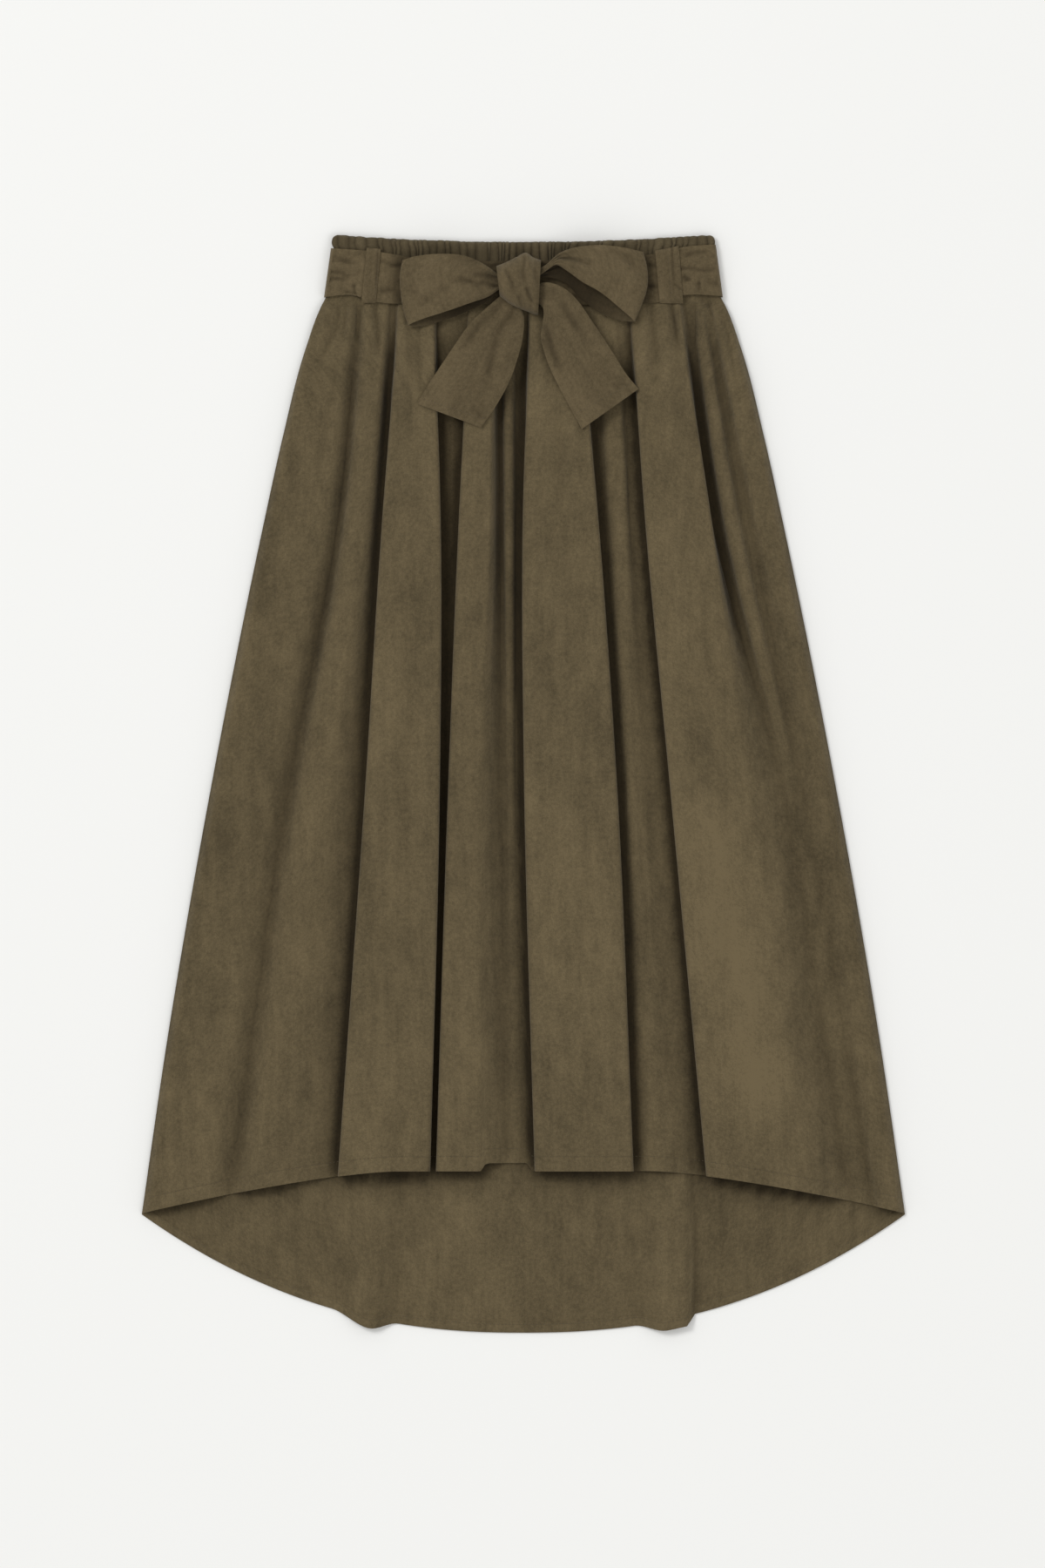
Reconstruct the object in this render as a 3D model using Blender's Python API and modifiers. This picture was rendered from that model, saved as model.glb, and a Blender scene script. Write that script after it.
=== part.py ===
"""High-low gathered midi skirt with a tie belt, laid flat with its front up.

Sizes are in millimetres until the last step, when each point becomes metres.
x runs across the skirt from its centre line, "down" is the distance below the
top of the waistband, and z is the height above the surface that it lies on.
"""

import math
from collections import namedtuple

import bpy
import bmesh
import numpy as np

MM = 0.001

# Driving sizes of the garment.
BACK_LENGTH = 970.0
FRONT_LENGTH = 827.0
SIDE_LENGTH = 865.5
HEM_HALF_WIDTH = 337.3
BELT_RIM = 59.3
SIDE_RIM = 55.2
CLOTH = 1.2
SEAM_GAP = 0.3
LAID_GAP = 0.3
BAND_DEPTH = 46.3
BAND_HALF_WIDTH = 167.6
BAND_DIP = 6.6
BAND_CORNER = 5.4
BAND_THICKNESS = 3.0
RUCHES = 54
BELT_FRONT_BASE = 8.4

# Half width of the laid skirt, from under the belt to the corners of the hem.
SIDE_DOWN = (46.6, 54.7, 59.3, 100.1, 177.1, 254.1, 485.1, 716.1, 864.7)
SIDE_HALF = (173.0, 174.5, 177.0, 192.5, 212.5, 229.5, 275.7, 315.7, 337.3)

# The folds of the front are given at these distances below the top.
LEVELS = (59.3, 254.1, 485.1, 823.9)
SIDE_ROLL = (2.0, 8.0, 8.0, 8.0)

# Each fold of the front, left to right. left and right are its edges at LEVELS. Where
# under_left or under_right is positive the cloth turns back that far under the edge, and
# where it is negative it slopes away over that width. rise is the fold's height, crest the
# number of points on its top, steps the number on each side, and waves its small gathers.
Fold = namedtuple("Fold", "name left right under_left under_right rise crest steps waves")
FOLDS = (
    Fold("left_side", None, (-152.5, -176.3, -225.6, -278.0),
         None, (-6.5, -11.0, -17.0, -20.0), (6.0, 7.0, 7.0, 7.0), 4, 4, 2),
    Fold("left_soft", (-137.1, -154.8, -193.3, -239.5), (-120.0, -137.1, -170.2, -211.0),
         (-7.0, -8.0, -12.5, -15.5), (-4.0, -9.0, -26.0, -43.0), (9.0, 10.0, 10.0, 9.0), 2, 4, 1),
    Fold("left_broad", (-109.5, -125.5, -140.1, -164.0), (-79.0, -72.4, -73.2, -81.6),
         (-2.5, 4.0, 5.0, 5.0), (-2.5, 5.0, 5.0, 4.0), (15.0, 15.0, 15.0, 15.0), 5, 6, 2),
    Fold("left_narrow", (-47.5, -57.8, -67.0, -77.8), (-27.0, -28.3, -37.0, -39.3),
         (-2.5, 3.0, 4.0, 3.0), (-2.3, -6.0, -16.5, -22.5), (13.0, 13.0, 13.0, 13.0), 3, 5, 1),
    Fold("middle_low", (-17.5, -16.0, -13.0, -8.0), (-9.5, -9.5, -9.0, -3.0),
         (-1.5, -2.0, -3.0, -4.5), (-2.5, -3.0, -3.0, -5.0), (4.0, 3.5, 1.2, 0.8), 1, 3, 0),
    Fold("middle_broad", (6.0, -1.2, 0.0, 9.2), (49.0, 67.0, 83.2, 97.8),
         (-2.5, 4.0, 5.0, 5.0), (-2.5, 2.5, 2.5, 2.5), (15.0, 16.0, 16.0, 15.0), 6, 6, 2),
    Fold("right_low", (64.5, 78.5, 93.0, 111.5), (79.5, 91.5, 100.1, 126.3),
         (-4.0, -5.5, -5.0, -9.0), (-4.0, -4.5, -10.0, -12.0), (4.0, 4.5, 3.5, 3.0), 1, 3, 0),
    Fold("right_broad", (94.0, 107.0, 128.6, 160.2), (137.0, 167.1, 199.4, 253.3),
         (-2.5, 5.0, 6.0, 6.0), (-3.0, 1.5, -27.0, -29.0), (15.0, 16.0, 16.0, 16.0), 6, 6, 2),
    Fold("right_soft", (149.5, 179.0, 234.0, 290.0), (156.0, 188.5, 240.0, 296.0),
         (-3.0, -4.0, -4.0, -4.0), (-3.5, -5.5, -4.0, -4.0), (7.0, 8.0, 0.8, 0.5), 1, 3, 0),
    Fold("right_side", (166.5, 208.7, 263.0, 311.0), None,
         (-2.5, -8.0, -16.0, -7.5), None, (6.0, 8.0, 8.0, 7.0), 1, 4, 0),
)
ROLLED_STEPS = 6
ROLLED_SHARES = (0.0, 0.25, 0.5, 0.75, 0.89, 1.0)
EDGE_ROUNDING = 1.6
TURN_LIMIT = 0.045
CREST_CROWN = 0.6
GATHER_HEIGHT = 1.1
WAIST_SHARE = 0.17
PUFF_START = 61.5
PUFF_LENGTH = 90.0
GATHER_LENGTH = 60.0
FRONT_ROWS = 15
ROW_SPREAD = 1.7
MIDDLE_HEM_LIFT = 7.0
MIDDLE_HEM = (-38.5, 8.5)

# Soft folds of the back panel: centre as a share of the half width, half width of the fold
# likewise, height at the hem, and how far the fold lets the hem down.
BackFold = namedtuple("BackFold", "centre half height drop")
BACK_FOLDS = (
    BackFold(-0.415, 0.080, 6.0, 9.0),
    BackFold(0.370, 0.080, 6.0, 9.0),
)
BACK_FOLD_START = 700.0
BACK_FOLD_STEPS = 8
BACK_FLAT_SHARES = (-1.0, -0.87, -0.74, -0.62, -0.22, -0.07, 0.07, 0.20, 0.58, 0.72, 0.86, 1.0)
BACK_ROWS = 17
BACK_SPREAD = 1.35

# The bow's loops. Rows run from the knot to the loop's end: share of the reach, top edge,
# lower edge of the front layer and lower edge of the back layer, as distances down.
LoopRow = namedtuple("LoopRow", "share top front_low back_low")
LEFT_LOOP = (
    LoopRow(0.00, 36.0, 46.0, 47.0),
    LoopRow(0.12, 34.5, 49.0, 50.5),
    LoopRow(0.20, 29.0, 54.0, 57.0),
    LoopRow(0.36, 20.9, 59.4, 64.8),
    LoopRow(0.68, 17.4, 69.4, 76.3),
    LoopRow(0.89, 19.5, 75.5, 80.7),
    LoopRow(1.00, 22.5, 79.5, 80.8),
)
RIGHT_LOOP = (
    LoopRow(0.00, 31.0, 37.0, 38.0),
    LoopRow(0.08, 27.5, 32.5, 37.5),
    LoopRow(0.20, 17.5, 26.5, 39.5),
    LoopRow(0.30, 13.3, 31.5, 43.5),
    LoopRow(0.46, 10.3, 41.5, 57.0),
    LoopRow(0.65, 9.8, 51.0, 69.0),
    LoopRow(0.87, 12.6, 66.5, 76.0),
    LoopRow(1.00, 15.5, 76.0, 77.0),
)
# How far each loop reaches from its root, at shares 0, 1/4, 1/2, 3/4 and 1 down its end.
LOOP_SHARES = (0.0, 0.25, 0.5, 0.75, 1.0)
LEFT_REACH = (94.3, 96.8, 96.0, 93.8, 89.5)
RIGHT_REACH = (93.5, 97.0, 97.0, 92.5, 86.0)
LOOP_ROOT = 12.0
# Height of a loop's middle and half its depth, at the knot and further out.
LoopDepth = namedtuple("LoopDepth", "root root_half middle half")
LEFT_DEPTH = LoopDepth(15.4, 2.4, 16.5, 6.6)
RIGHT_DEPTH = LoopDepth(15.0, 2.2, 17.6, 7.9)

# The tails. Rows run from the knot to the end: left edge x and down, right edge x and down.
TAIL_COLUMNS = 9
TAIL_SETTLING = 60
TailRow = namedtuple("TailRow", "left_x left_down right_x right_down lift")
LEFT_TAIL = (
    TailRow(-20.0, 54.0, -3.5, 62.0, 0.0),
    TailRow(-30.0, 62.5, 0.5, 74.0, 0.0),
    TailRow(-47.0, 78.6, -0.5, 89.0, 0.3),
    TailRow(-62.4, 100.2, -4.5, 107.0, 0.5),
    TailRow(-77.8, 123.3, -13.0, 131.0, 0.5),
    TailRow(-86.5, 137.0, -25.0, 152.5, 0.3),
    TailRow(-93.9, 149.5, -37.7, 170.3, 0.0),
)
RIGHT_TAIL = (
    TailRow(8.0, 57.0, 8.0, 46.5, 4.0),
    TailRow(17.5, 65.0, 20.0, 42.5, 7.0),
    TailRow(17.5, 76.0, 34.0, 46.5, 6.0),
    TailRow(15.5, 88.0, 47.0, 57.5, 3.0),
    TailRow(17.0, 99.0, 60.8, 77.1, 1.5),
    TailRow(24.0, 119.0, 76.2, 100.2, 0.5),
    TailRow(36.0, 143.0, 90.0, 122.0, 0.3),
    TailRow(51.6, 171.8, 101.6, 136.4, 0.0),
)

# The knot's wrap. Rows run from its left rim to its right rim: share across, x at the top
# and at the bottom, and how far down its top and bottom rims are.
KnotRow = namedtuple("KnotRow", "share top_x bottom_x top bottom")
KNOT = (
    KnotRow(0.00, -24.0, -21.0, 27.6, 54.0),
    KnotRow(0.20, -16.2, -13.0, 24.6, 60.5),
    KnotRow(0.45, -6.0, -3.0, 19.5, 65.5),
    KnotRow(0.70, 3.1, 6.0, 16.0, 69.0),
    KnotRow(0.85, 9.0, 9.5, 20.0, 70.5),
    KnotRow(1.00, 15.5, 13.0, 22.4, 71.0),
)
KNOT_WALL = 1.5
KNOT_TOP_RIM = 11.6
KNOT_LOW_RIM = 13.2
KNOT_CROWN = 16.0

# Edges of the belt's front stretches: x, top edge and lower edge, as distances down.
BeltRow = namedtuple("BeltRow", "x top low")
BELT_LEFT = (
    BeltRow(-176.3, 11.5, 54.8),
    BeltRow(-151.7, 13.0, 53.0),
    BeltRow(-130.0, 14.8, 59.0),
    BeltRow(-93.2, 20.8, 61.0),
    BeltRow(-1.0, 23.5, 61.0),
)
BELT_RIGHT = (
    BeltRow(1.0, 23.5, 60.5),
    BeltRow(107.0, 18.0, 60.5),
    BeltRow(120.1, 16.0, 59.4),
    BeltRow(140.1, 11.0, 53.5),
    BeltRow(176.3, 8.2, 53.8),
)
BELT_SIDE_TOP = 170.2
BELT_SIDE_LOW = 176.3

# The belt loops: x of the left and right edge at the top and at the bottom.
StrapRow = namedtuple("StrapRow", "name top_left top_right low_left low_right left_top right_top low")
STRAPS = (
    StrapRow("belt_loop_left", -138.5, -126.0, -143.0, -130.5, 10.4, 11.6, 62.4),
    StrapRow("belt_loop_right", 116.5, 137.5, 120.5, 141.0, 13.0, 8.6, 62.8),
)
# How a belt loop bends over the belt's rims: distance in from its end, and height.
STRAP_BEND = ((0.0, -1.2), (1.0, -0.5), (2.6, 0.65), (6.0, 0.75))
STRAP_BASE = 9.9

CLOTH_COLOUR = (0.115, 0.088, 0.047)
BELT_COLOUR = (0.122, 0.094, 0.050)


def through(stations, values, at):
    """A smooth curve through values at rising stations, straight beyond both ends."""
    stations = np.asarray(stations, float)
    values = np.asarray(values, float)
    at = np.asarray(at, float)
    steps = np.diff(stations)
    rates = np.diff(values) / steps
    slopes = np.empty_like(values)
    slopes[0] = rates[0]
    slopes[-1] = rates[-1]
    slopes[1:-1] = (rates[:-1] * steps[1:] + rates[1:] * steps[:-1]) / (steps[1:] + steps[:-1])
    span = np.clip(np.searchsorted(stations, at) - 1, 0, len(steps) - 1)
    inside = np.clip(at, stations[0], stations[-1])
    beyond = at - inside
    t = (inside - stations[span]) / steps[span]
    curve = ((1 + 2 * t) * (1 - t) ** 2 * values[span]
             + t * (1 - t) ** 2 * steps[span] * slopes[span]
             + t * t * (3 - 2 * t) * values[span + 1]
             - t * t * (1 - t) * steps[span] * slopes[span + 1])
    return curve + beyond * np.where(beyond < 0, slopes[0], slopes[-1])


def smooth(t):
    """Ease from 0 to 1 as t goes from 0 to 1."""
    t = np.clip(t, 0.0, 1.0)
    return t * t * (3 - 2 * t)


def half_width(down):
    """Half width of the laid skirt, level with the corners of the hem below them."""
    return through(SIDE_DOWN, SIDE_HALF, np.minimum(down, SIDE_DOWN[-1]))


def front_hem(x):
    """Distance down to the front hem, lifted where the cloth lies deep between two folds."""
    outside = np.clip((np.abs(x) - 115.5) / (HEM_HALF_WIDTH - 115.5), 0.0, 1.0)
    edge = 6.0
    deep = smooth((x - MIDDLE_HEM[0]) / edge) * smooth((MIDDLE_HEM[1] - x) / edge)
    return FRONT_LENGTH + (SIDE_LENGTH - FRONT_LENGTH) * outside ** 1.4 - MIDDLE_HEM_LIFT * deep


def fold_shape(share, fold):
    """One soft fold of the back: 1 on its top, 0 at its feet."""
    return smooth(1.35 * (1 - np.abs(share - fold.centre) / fold.half))


def back_hem(share):
    """Distance down to the back hem at a share of the half width."""
    plain = SIDE_LENGTH + (BACK_LENGTH - SIDE_LENGTH) * (1 - np.abs(share) ** 2.3)
    for fold in BACK_FOLDS:
        plain = plain + fold.drop * fold_shape(share, fold)
    return plain


def back_rise(x, down):
    """Height of the back panel's folds, which grow towards the hem."""
    share = x / half_width(down)
    grown = smooth((down - BACK_FOLD_START) / (BACK_LENGTH - BACK_FOLD_START))
    rise = 0.0
    for fold in BACK_FOLDS:
        rise = rise + fold.height * fold_shape(share, fold) * grown
    return rise


def belt_step(down):
    """How far the belt's back stretch lifts the panels near the waist."""
    return (CLOTH + SEAM_GAP) * smooth((100.0 - down) / 36.0)


def back_base(x, down):
    """Underside of the back panel: over the belt's back stretch, then flat, then its folds."""
    return belt_step(down) + back_rise(x, down)


def front_columns():
    """Number of points across the front."""
    return sum(2 * fold.steps + fold.crest for fold in FOLDS)


def side_shares(steps):
    """Shares along a fold's side, from its foot to its crest, closer where it turns."""
    if steps == ROLLED_STEPS:
        return np.array(ROLLED_SHARES)
    return np.linspace(0.0, 1.0, steps)


def fold_side(share, under, rise):
    """Run across and height of a fold's side: turned under its edge, or sloping away."""
    turned = np.minimum(np.maximum(under, 0.0), TURN_LIMIT * rise * rise)
    sloped = np.maximum(-under, 0.0)
    rounding = EDGE_ROUNDING * np.minimum(1.0, rise / 8.0) * np.cos(math.pi * share) ** 3
    run = turned * 0.5 * (1 + np.sin(2 * math.pi * share)) - sloped * (1 - share) - rounding
    crisp = sloped / (sloped + 8.0)
    height = (1 - crisp) * 0.5 * (1 - np.cos(math.pi * share)) + crisp * share
    return run, height


def front_sheet(down):
    """x and z of the middle of the front's cloth, for one distance down at each column."""
    x = np.empty_like(down)
    z = np.empty_like(down)
    start = 0
    for fold in FOLDS:
        size = 2 * fold.steps + fold.crest
        block = slice(start, start + size)
        start += size
        at = down[block]
        shares = side_shares(fold.steps)
        grown = WAIST_SHARE + (1 - WAIST_SHARE) * smooth((at - PUFF_START) / PUFF_LENGTH)
        rise = np.maximum(through(LEVELS, fold.rise, at), 0.3) * grown
        roll = through(LEVELS, SIDE_ROLL, at)
        outer = half_width(at) - CLOTH / 2
        edge = CLOTH / 2
        left = roll - outer if fold.left is None else through(LEVELS, fold.left, at) + edge
        right = outer - roll if fold.right is None else through(LEVELS, fold.right, at) - edge
        under_left = -roll if fold.left is None else through(LEVELS, fold.under_left, at)
        under_right = -roll if fold.right is None else through(LEVELS, fold.under_right, at)
        share = np.concatenate((shares, np.ones(fold.crest), shares[::-1]))
        run_left, lift_left = fold_side(share, under_left, rise)
        run_right, lift_right = fold_side(share, under_right, rise)
        if fold.left is None:
            run_left, lift_left = roll * (share - 1), np.sin(0.5 * math.pi * share)
        if fold.right is None:
            run_right, lift_right = roll * (share - 1), np.sin(0.5 * math.pi * share)
        is_left = np.arange(size) < fold.steps
        is_right = np.arange(size) >= fold.steps + fold.crest
        across = np.clip((np.arange(size) - fold.steps + 1) / (fold.crest + 1), 0.0, 1.0)
        from_left = left + run_left
        from_right = right - run_right
        crest_x = from_left + (from_right - from_left) * across
        x[block] = np.where(is_left, from_left, np.where(is_right, from_right, crest_x))
        gathers = np.sin(2 * math.pi * fold.waves * across) * np.exp(-(at - BELT_RIM) / GATHER_LENGTH)
        crown = CREST_CROWN * np.sin(math.pi * across) + GATHER_HEIGHT * np.minimum(gathers, 1.0)
        crest_z = rise + crown * np.minimum(1.0, rise / 6.0)
        side_z = rise * np.where(is_left, lift_left, lift_right)
        z[block] = np.where(is_left | is_right, side_z, crest_z)
    risen = back_rise(x, down)
    floor = belt_step(down - 14.0) + risen + 0.35 * np.minimum(risen, 1.5)
    return x, floor + CLOTH + SEAM_GAP + CLOTH / 2 + z


def front_top(x, down):
    """Height of the top of the front's cloth over a point."""
    xs, zs = front_sheet(np.full(front_columns(), float(down)))
    low = np.minimum(xs[:-1], xs[1:])
    high = np.maximum(xs[:-1], xs[1:])
    over = (low <= x) & (x <= high)
    if not over.any():
        return 0.0
    return float(np.maximum(zs[:-1], zs[1:])[over].max()) + CLOTH / 2


def carried(x, down):
    """Height of what lies under the bow: the belt, and the highest cloth close by."""
    highest = BELT_FRONT_BASE + CLOTH if down < 66.0 else 0.0
    for near_down in (-9.0, 0.0, 9.0):
        at = max(down + near_down, BELT_RIM)
        for near_x in (-9.0, -4.5, 0.0, 4.5, 9.0):
            highest = max(highest, front_top(x + near_x, at))
    return highest


def point(x, down, z):
    """A point in metres, with the middle of the garment's length at y = 0."""
    return (float(x) * MM, (BACK_LENGTH / 2 - float(down)) * MM, float(z) * MM)


def material(name, colour, roughness=0.9):
    """A plain dull cloth."""
    finish = bpy.data.materials.new(name)
    finish.use_nodes = True
    shader = finish.node_tree.nodes["Principled BSDF"]
    shader.inputs["Base Color"].default_value = (*colour, 1.0)
    shader.inputs["Roughness"].default_value = roughness
    shader.inputs["Metallic"].default_value = 0.0
    return finish


def finish_piece(piece, finish):
    """Give a piece its cloth and put it with the rest of the skirt."""
    piece.data.materials.clear()
    piece.data.materials.append(finish)
    piece.data.shade_smooth()
    piece.data.set_sharp_from_angle(angle=math.radians(50))
    for owner in list(piece.users_collection):
        owner.objects.unlink(piece)
    skirt.objects.link(piece)
    return piece


def sheet(name, columns, rows, finish, place, wall=CLOTH, offset=0.0):
    """A wall of cloth on a grid, whose points place gives by column and row, hem first."""
    bpy.ops.mesh.primitive_grid_add(x_subdivisions=columns - 1, y_subdivisions=rows - 1)
    piece = bpy.context.object
    piece.name = name
    for vertex in piece.data.vertices:
        vertex.co = place(vertex.index % columns, vertex.index // columns)
    thick = piece.modifiers.new("wall", "SOLIDIFY")
    thick.thickness = wall * MM
    thick.offset = offset
    thick.use_even_offset = True
    thick.use_quality_normals = True
    return finish_piece(piece, finish)


def lined_sheet(name, columns, rows, finish, outer, inner):
    """A wall whose outer points and plain inner points are both given by column and row."""
    mesh = bpy.data.meshes.new(name)
    piece = bpy.data.objects.new(name, mesh)
    bpy.context.scene.collection.objects.link(piece)
    form = bmesh.new()
    bmesh.ops.create_grid(form, x_segments=columns - 1, y_segments=rows - 1, size=1.0)
    form.verts.ensure_lookup_table()
    count = len(form.verts)
    raised = bmesh.ops.extrude_face_region(form, geom=form.faces[:], use_keep_orig=True)
    copies = [item for item in raised["geom"] if isinstance(item, bmesh.types.BMVert)]
    for copy in copies:
        copy.co.z += 1.0
    lower = {(round(v.co.x, 5), round(v.co.y, 5)): v for v in form.verts if v.co.z < 0.5}
    pairs = [(copy, lower[(round(copy.co.x, 5), round(copy.co.y, 5))]) for copy in copies]
    for copy, original in pairs:
        column = round((copy.co.x + 1) / 2 * (columns - 1))
        row = round((copy.co.y + 1) / 2 * (rows - 1))
        copy.co = outer(column, row)
        original.co = inner(column, row)
    assert count == columns * rows
    bmesh.ops.recalc_face_normals(form, faces=form.faces[:])
    form.to_mesh(mesh)
    form.free()
    return finish_piece(piece, finish)


def row_down(row, rows, hem, spread):
    """Distance down to a row: the top row is under the belt, the next one at the belt's rim."""
    if row == rows - 1:
        return BAND_DEPTH + SEAM_GAP + 0.0 * hem
    return SIDE_RIM + (hem - SIDE_RIM) * (1 - row / (rows - 2)) ** spread


def build_front(finish):
    """The front panel: pleats that overlap, gathered into the waistband."""
    columns = front_columns()
    hem = front_hem(front_sheet(np.full(columns, FRONT_LENGTH))[0])
    outer_rows = []
    inner_rows = []
    for row in range(FRONT_ROWS):
        down = row_down(row, FRONT_ROWS, hem, ROW_SPREAD)
        x, z = front_sheet(down)
        across = np.gradient(x)
        up = np.gradient(z)
        length = np.hypot(across, up)
        off_x = -up / length * CLOTH / 2
        off_z = across / length * CLOTH / 2
        outer_rows.append(list(zip(x + off_x, down, z + off_z)))
        inner_rows.append(list(zip(x - off_x, down, z - off_z)))

    def outer(column, row):
        return point(*outer_rows[row][column])

    def inner(column, row):
        return point(*inner_rows[row][column])

    return lined_sheet("front_panel", columns, FRONT_ROWS, finish, outer, inner)


def build_back(finish):
    """The back panel: it lies flat but for two soft folds, and its hem curves lower."""
    shares = list(BACK_FLAT_SHARES)
    for fold in BACK_FOLDS:
        shares += [fold.centre + fold.half * (2 * step / BACK_FOLD_STEPS - 1)
                   for step in range(BACK_FOLD_STEPS + 1)]
    shares.sort()

    def place(column, row):
        share = shares[column]
        down = row_down(row, BACK_ROWS, float(back_hem(share)), BACK_SPREAD)
        x = share * float(half_width(down))
        return point(x, down, back_base(x, down))

    return sheet("back_panel", len(shares), BACK_ROWS, finish, place, offset=1.0)


def band_top(x):
    """Distance down to the waistband's top edge, with its rounded corners."""
    dip = BAND_DIP * (1 - (x / BAND_HALF_WIDTH) ** 2)
    into = max(0.0, abs(x) - (BAND_HALF_WIDTH - BAND_CORNER)) / BAND_CORNER
    return dip + BAND_CORNER * (1 - math.sqrt(max(0.0, 1 - into * into)))


def build_waistband(finish):
    """The elastic casing: a plain back half and a finely ruched front half on it."""
    base_back = CLOTH + SEAM_GAP
    base_front = base_back + BAND_THICKNESS + SEAM_GAP
    columns = 3 * RUCHES + 1
    rows = 3

    def spot(column, row, last):
        x = BAND_HALF_WIDTH * (2 * column / last - 1)
        top = band_top(x)
        return x, BAND_DEPTH + (top - BAND_DEPTH) * row / (rows - 1)

    def relief(column, row):
        uneven = 0.75 + 0.25 * math.sin(1.7 * column) * math.cos(0.45 * column + row)
        return 1.1 * uneven if column % 3 == 1 else 0.35 * uneven * (column % 3)

    def front_outer(column, row):
        x, down = spot(column, row, columns - 1)
        return point(x, down, base_front + 2.0 + relief(column, row))

    def front_inner(column, row):
        x, down = spot(column, row, columns - 1)
        return point(x, down, base_front)

    plain = 41

    def back_outer(column, row):
        x, down = spot(column, row, plain - 1)
        return point(x, down, base_back + BAND_THICKNESS)

    def back_inner(column, row):
        x, down = spot(column, row, plain - 1)
        return point(x, down, base_back)

    lined_sheet("waistband_back", plain, rows, finish, back_outer, back_inner)
    lined_sheet("waistband_front", columns, rows, finish, front_outer, front_inner)


def build_belt(finish):
    """The tie belt round the waist: a back stretch and two front ones that roll at the sides."""
    side = BELT_SIDE_TOP
    low_side = BELT_SIDE_LOW
    back_rows = ((11.5, side), (54.8, low_side))

    def back_place(column, row):
        down, half = back_rows[1 - row]
        return point(half * (2 * column - 1), down, 0.0)

    sheet("belt_back", 2, 2, finish, back_place, offset=1.0)
    roll = (0.0, 0.35, 0.7, 1.0)
    flat_columns = 13
    columns = len(roll) + flat_columns
    rows = 4
    foot = CLOTH + SEAM_GAP
    height = BELT_FRONT_BASE + CLOTH / 2 - foot

    def front_place(table, left):
        """Points of one front stretch, from its side edge to under the knot."""
        def place(column, row):
            outward = column if left else columns - 1 - column
            down_share = 1 - row / (rows - 1)
            edge = side + (low_side - side) * down_share - CLOTH / 2
            turn = 2.5
            if outward < len(roll):
                angle = 0.5 * math.pi * roll[outward]
                off = edge - turn * (1 - math.cos(angle))
                z = foot + height * math.sin(angle)
            else:
                along = (outward - len(roll) + 1) / flat_columns
                off = (edge - turn) + (1.0 - (edge - turn)) * along
                z = foot + height
            x = -off if left else off
            xs = [belt.x for belt in table]
            top = float(through(xs, [belt.top for belt in table], x))
            low = float(through(xs, [belt.low for belt in table], x))
            return point(x, top + (low - top) * down_share, z)
        return place

    sheet("belt_left", columns, rows, finish, front_place(BELT_LEFT, True))
    sheet("belt_right", columns, rows, finish, front_place(BELT_RIGHT, False))


def build_straps(finish):
    """The belt loops, which hold the belt on the waistband."""
    bends = len(STRAP_BEND)
    rows = 2 * bends
    for strap in STRAPS:
        def place(column, row, strap=strap):
            across = column / 2
            top = strap.left_top + (strap.right_top - strap.left_top) * across
            near_top = row >= bends
            inward, lift = STRAP_BEND[rows - 1 - row if near_top else row]
            down = top + inward if near_top else strap.low - inward
            share = (down - strap.left_top) / (strap.low - strap.left_top)
            left = strap.top_left + (strap.low_left - strap.top_left) * share
            right = strap.top_right + (strap.low_right - strap.top_right) * share
            return point(left + (right - left) * across, down, STRAP_BASE + lift)
        sheet(strap.name, 3, rows, finish, place)


def loop_point(table, reach, side, turn, across, depth):
    """A point of a bow loop: turn runs from 0, front layer at the knot, to pi, the back one."""
    out = math.sin(turn)
    shares = [row.share for row in table]
    top = float(through(shares, [row.top for row in table], out))
    front_low = float(through(shares, [row.front_low for row in table], out))
    back_low = float(through(shares, [row.back_low for row in table], out))
    to_back = float(smooth(0.5 - 1.5 * math.cos(turn)))
    low = front_low + (back_low - front_low) * to_back
    down = top + (low - top) * across
    x = LOOP_ROOT + out * float(through(LOOP_SHARES, reach, across))
    spread = float(smooth(1.6 * out))
    middle = depth.root + (depth.middle - depth.root) * spread
    half = depth.root_half + (depth.half - depth.root_half) * spread
    gathers = 0.7 * (1 - out) * math.sin(5 * math.pi * across)
    puff = 1.2 * math.sin(math.pi * across) * math.sin(2 * turn) * (1.0 if turn < math.pi / 2 else 0.0)
    return point(side * x, down, middle + half * math.cos(turn) + gathers + puff)


def tail_points(table, columns, rows):
    """x, down and z of a tail, which lies from fold to fold of what is under it."""
    shares = np.linspace(0.0, 1.0, len(table))
    along = np.linspace(1.0, 0.0, rows)[:, None]
    across = np.linspace(0.0, 1.0, columns)[None, :]
    left_x, left_down, right_x, right_down, lift = (
        through(shares, [getattr(tail, name) for tail in table], along) for name in TailRow._fields)
    x = left_x + (right_x - left_x) * across
    down = left_down + (right_down - left_down) * across
    under = np.vectorize(carried)(x, down) + LAID_GAP + CLOTH / 2
    folds = 1.2 * (1 - along) * (0.5 + 0.5 * np.sin(3 * math.pi * across + 0.6))
    z = under.copy()
    for _ in range(TAIL_SETTLING):
        padded = np.pad(z, 1, mode="edge")
        around = (padded[:-2, 1:-1] + padded[2:, 1:-1] + padded[1:-1, :-2] + padded[1:-1, 2:]) / 4
        z = np.maximum(under, around)
    z = under + (z - under) * smooth((along - 0.08) / 0.3)
    return x, down, z + folds + lift


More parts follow.
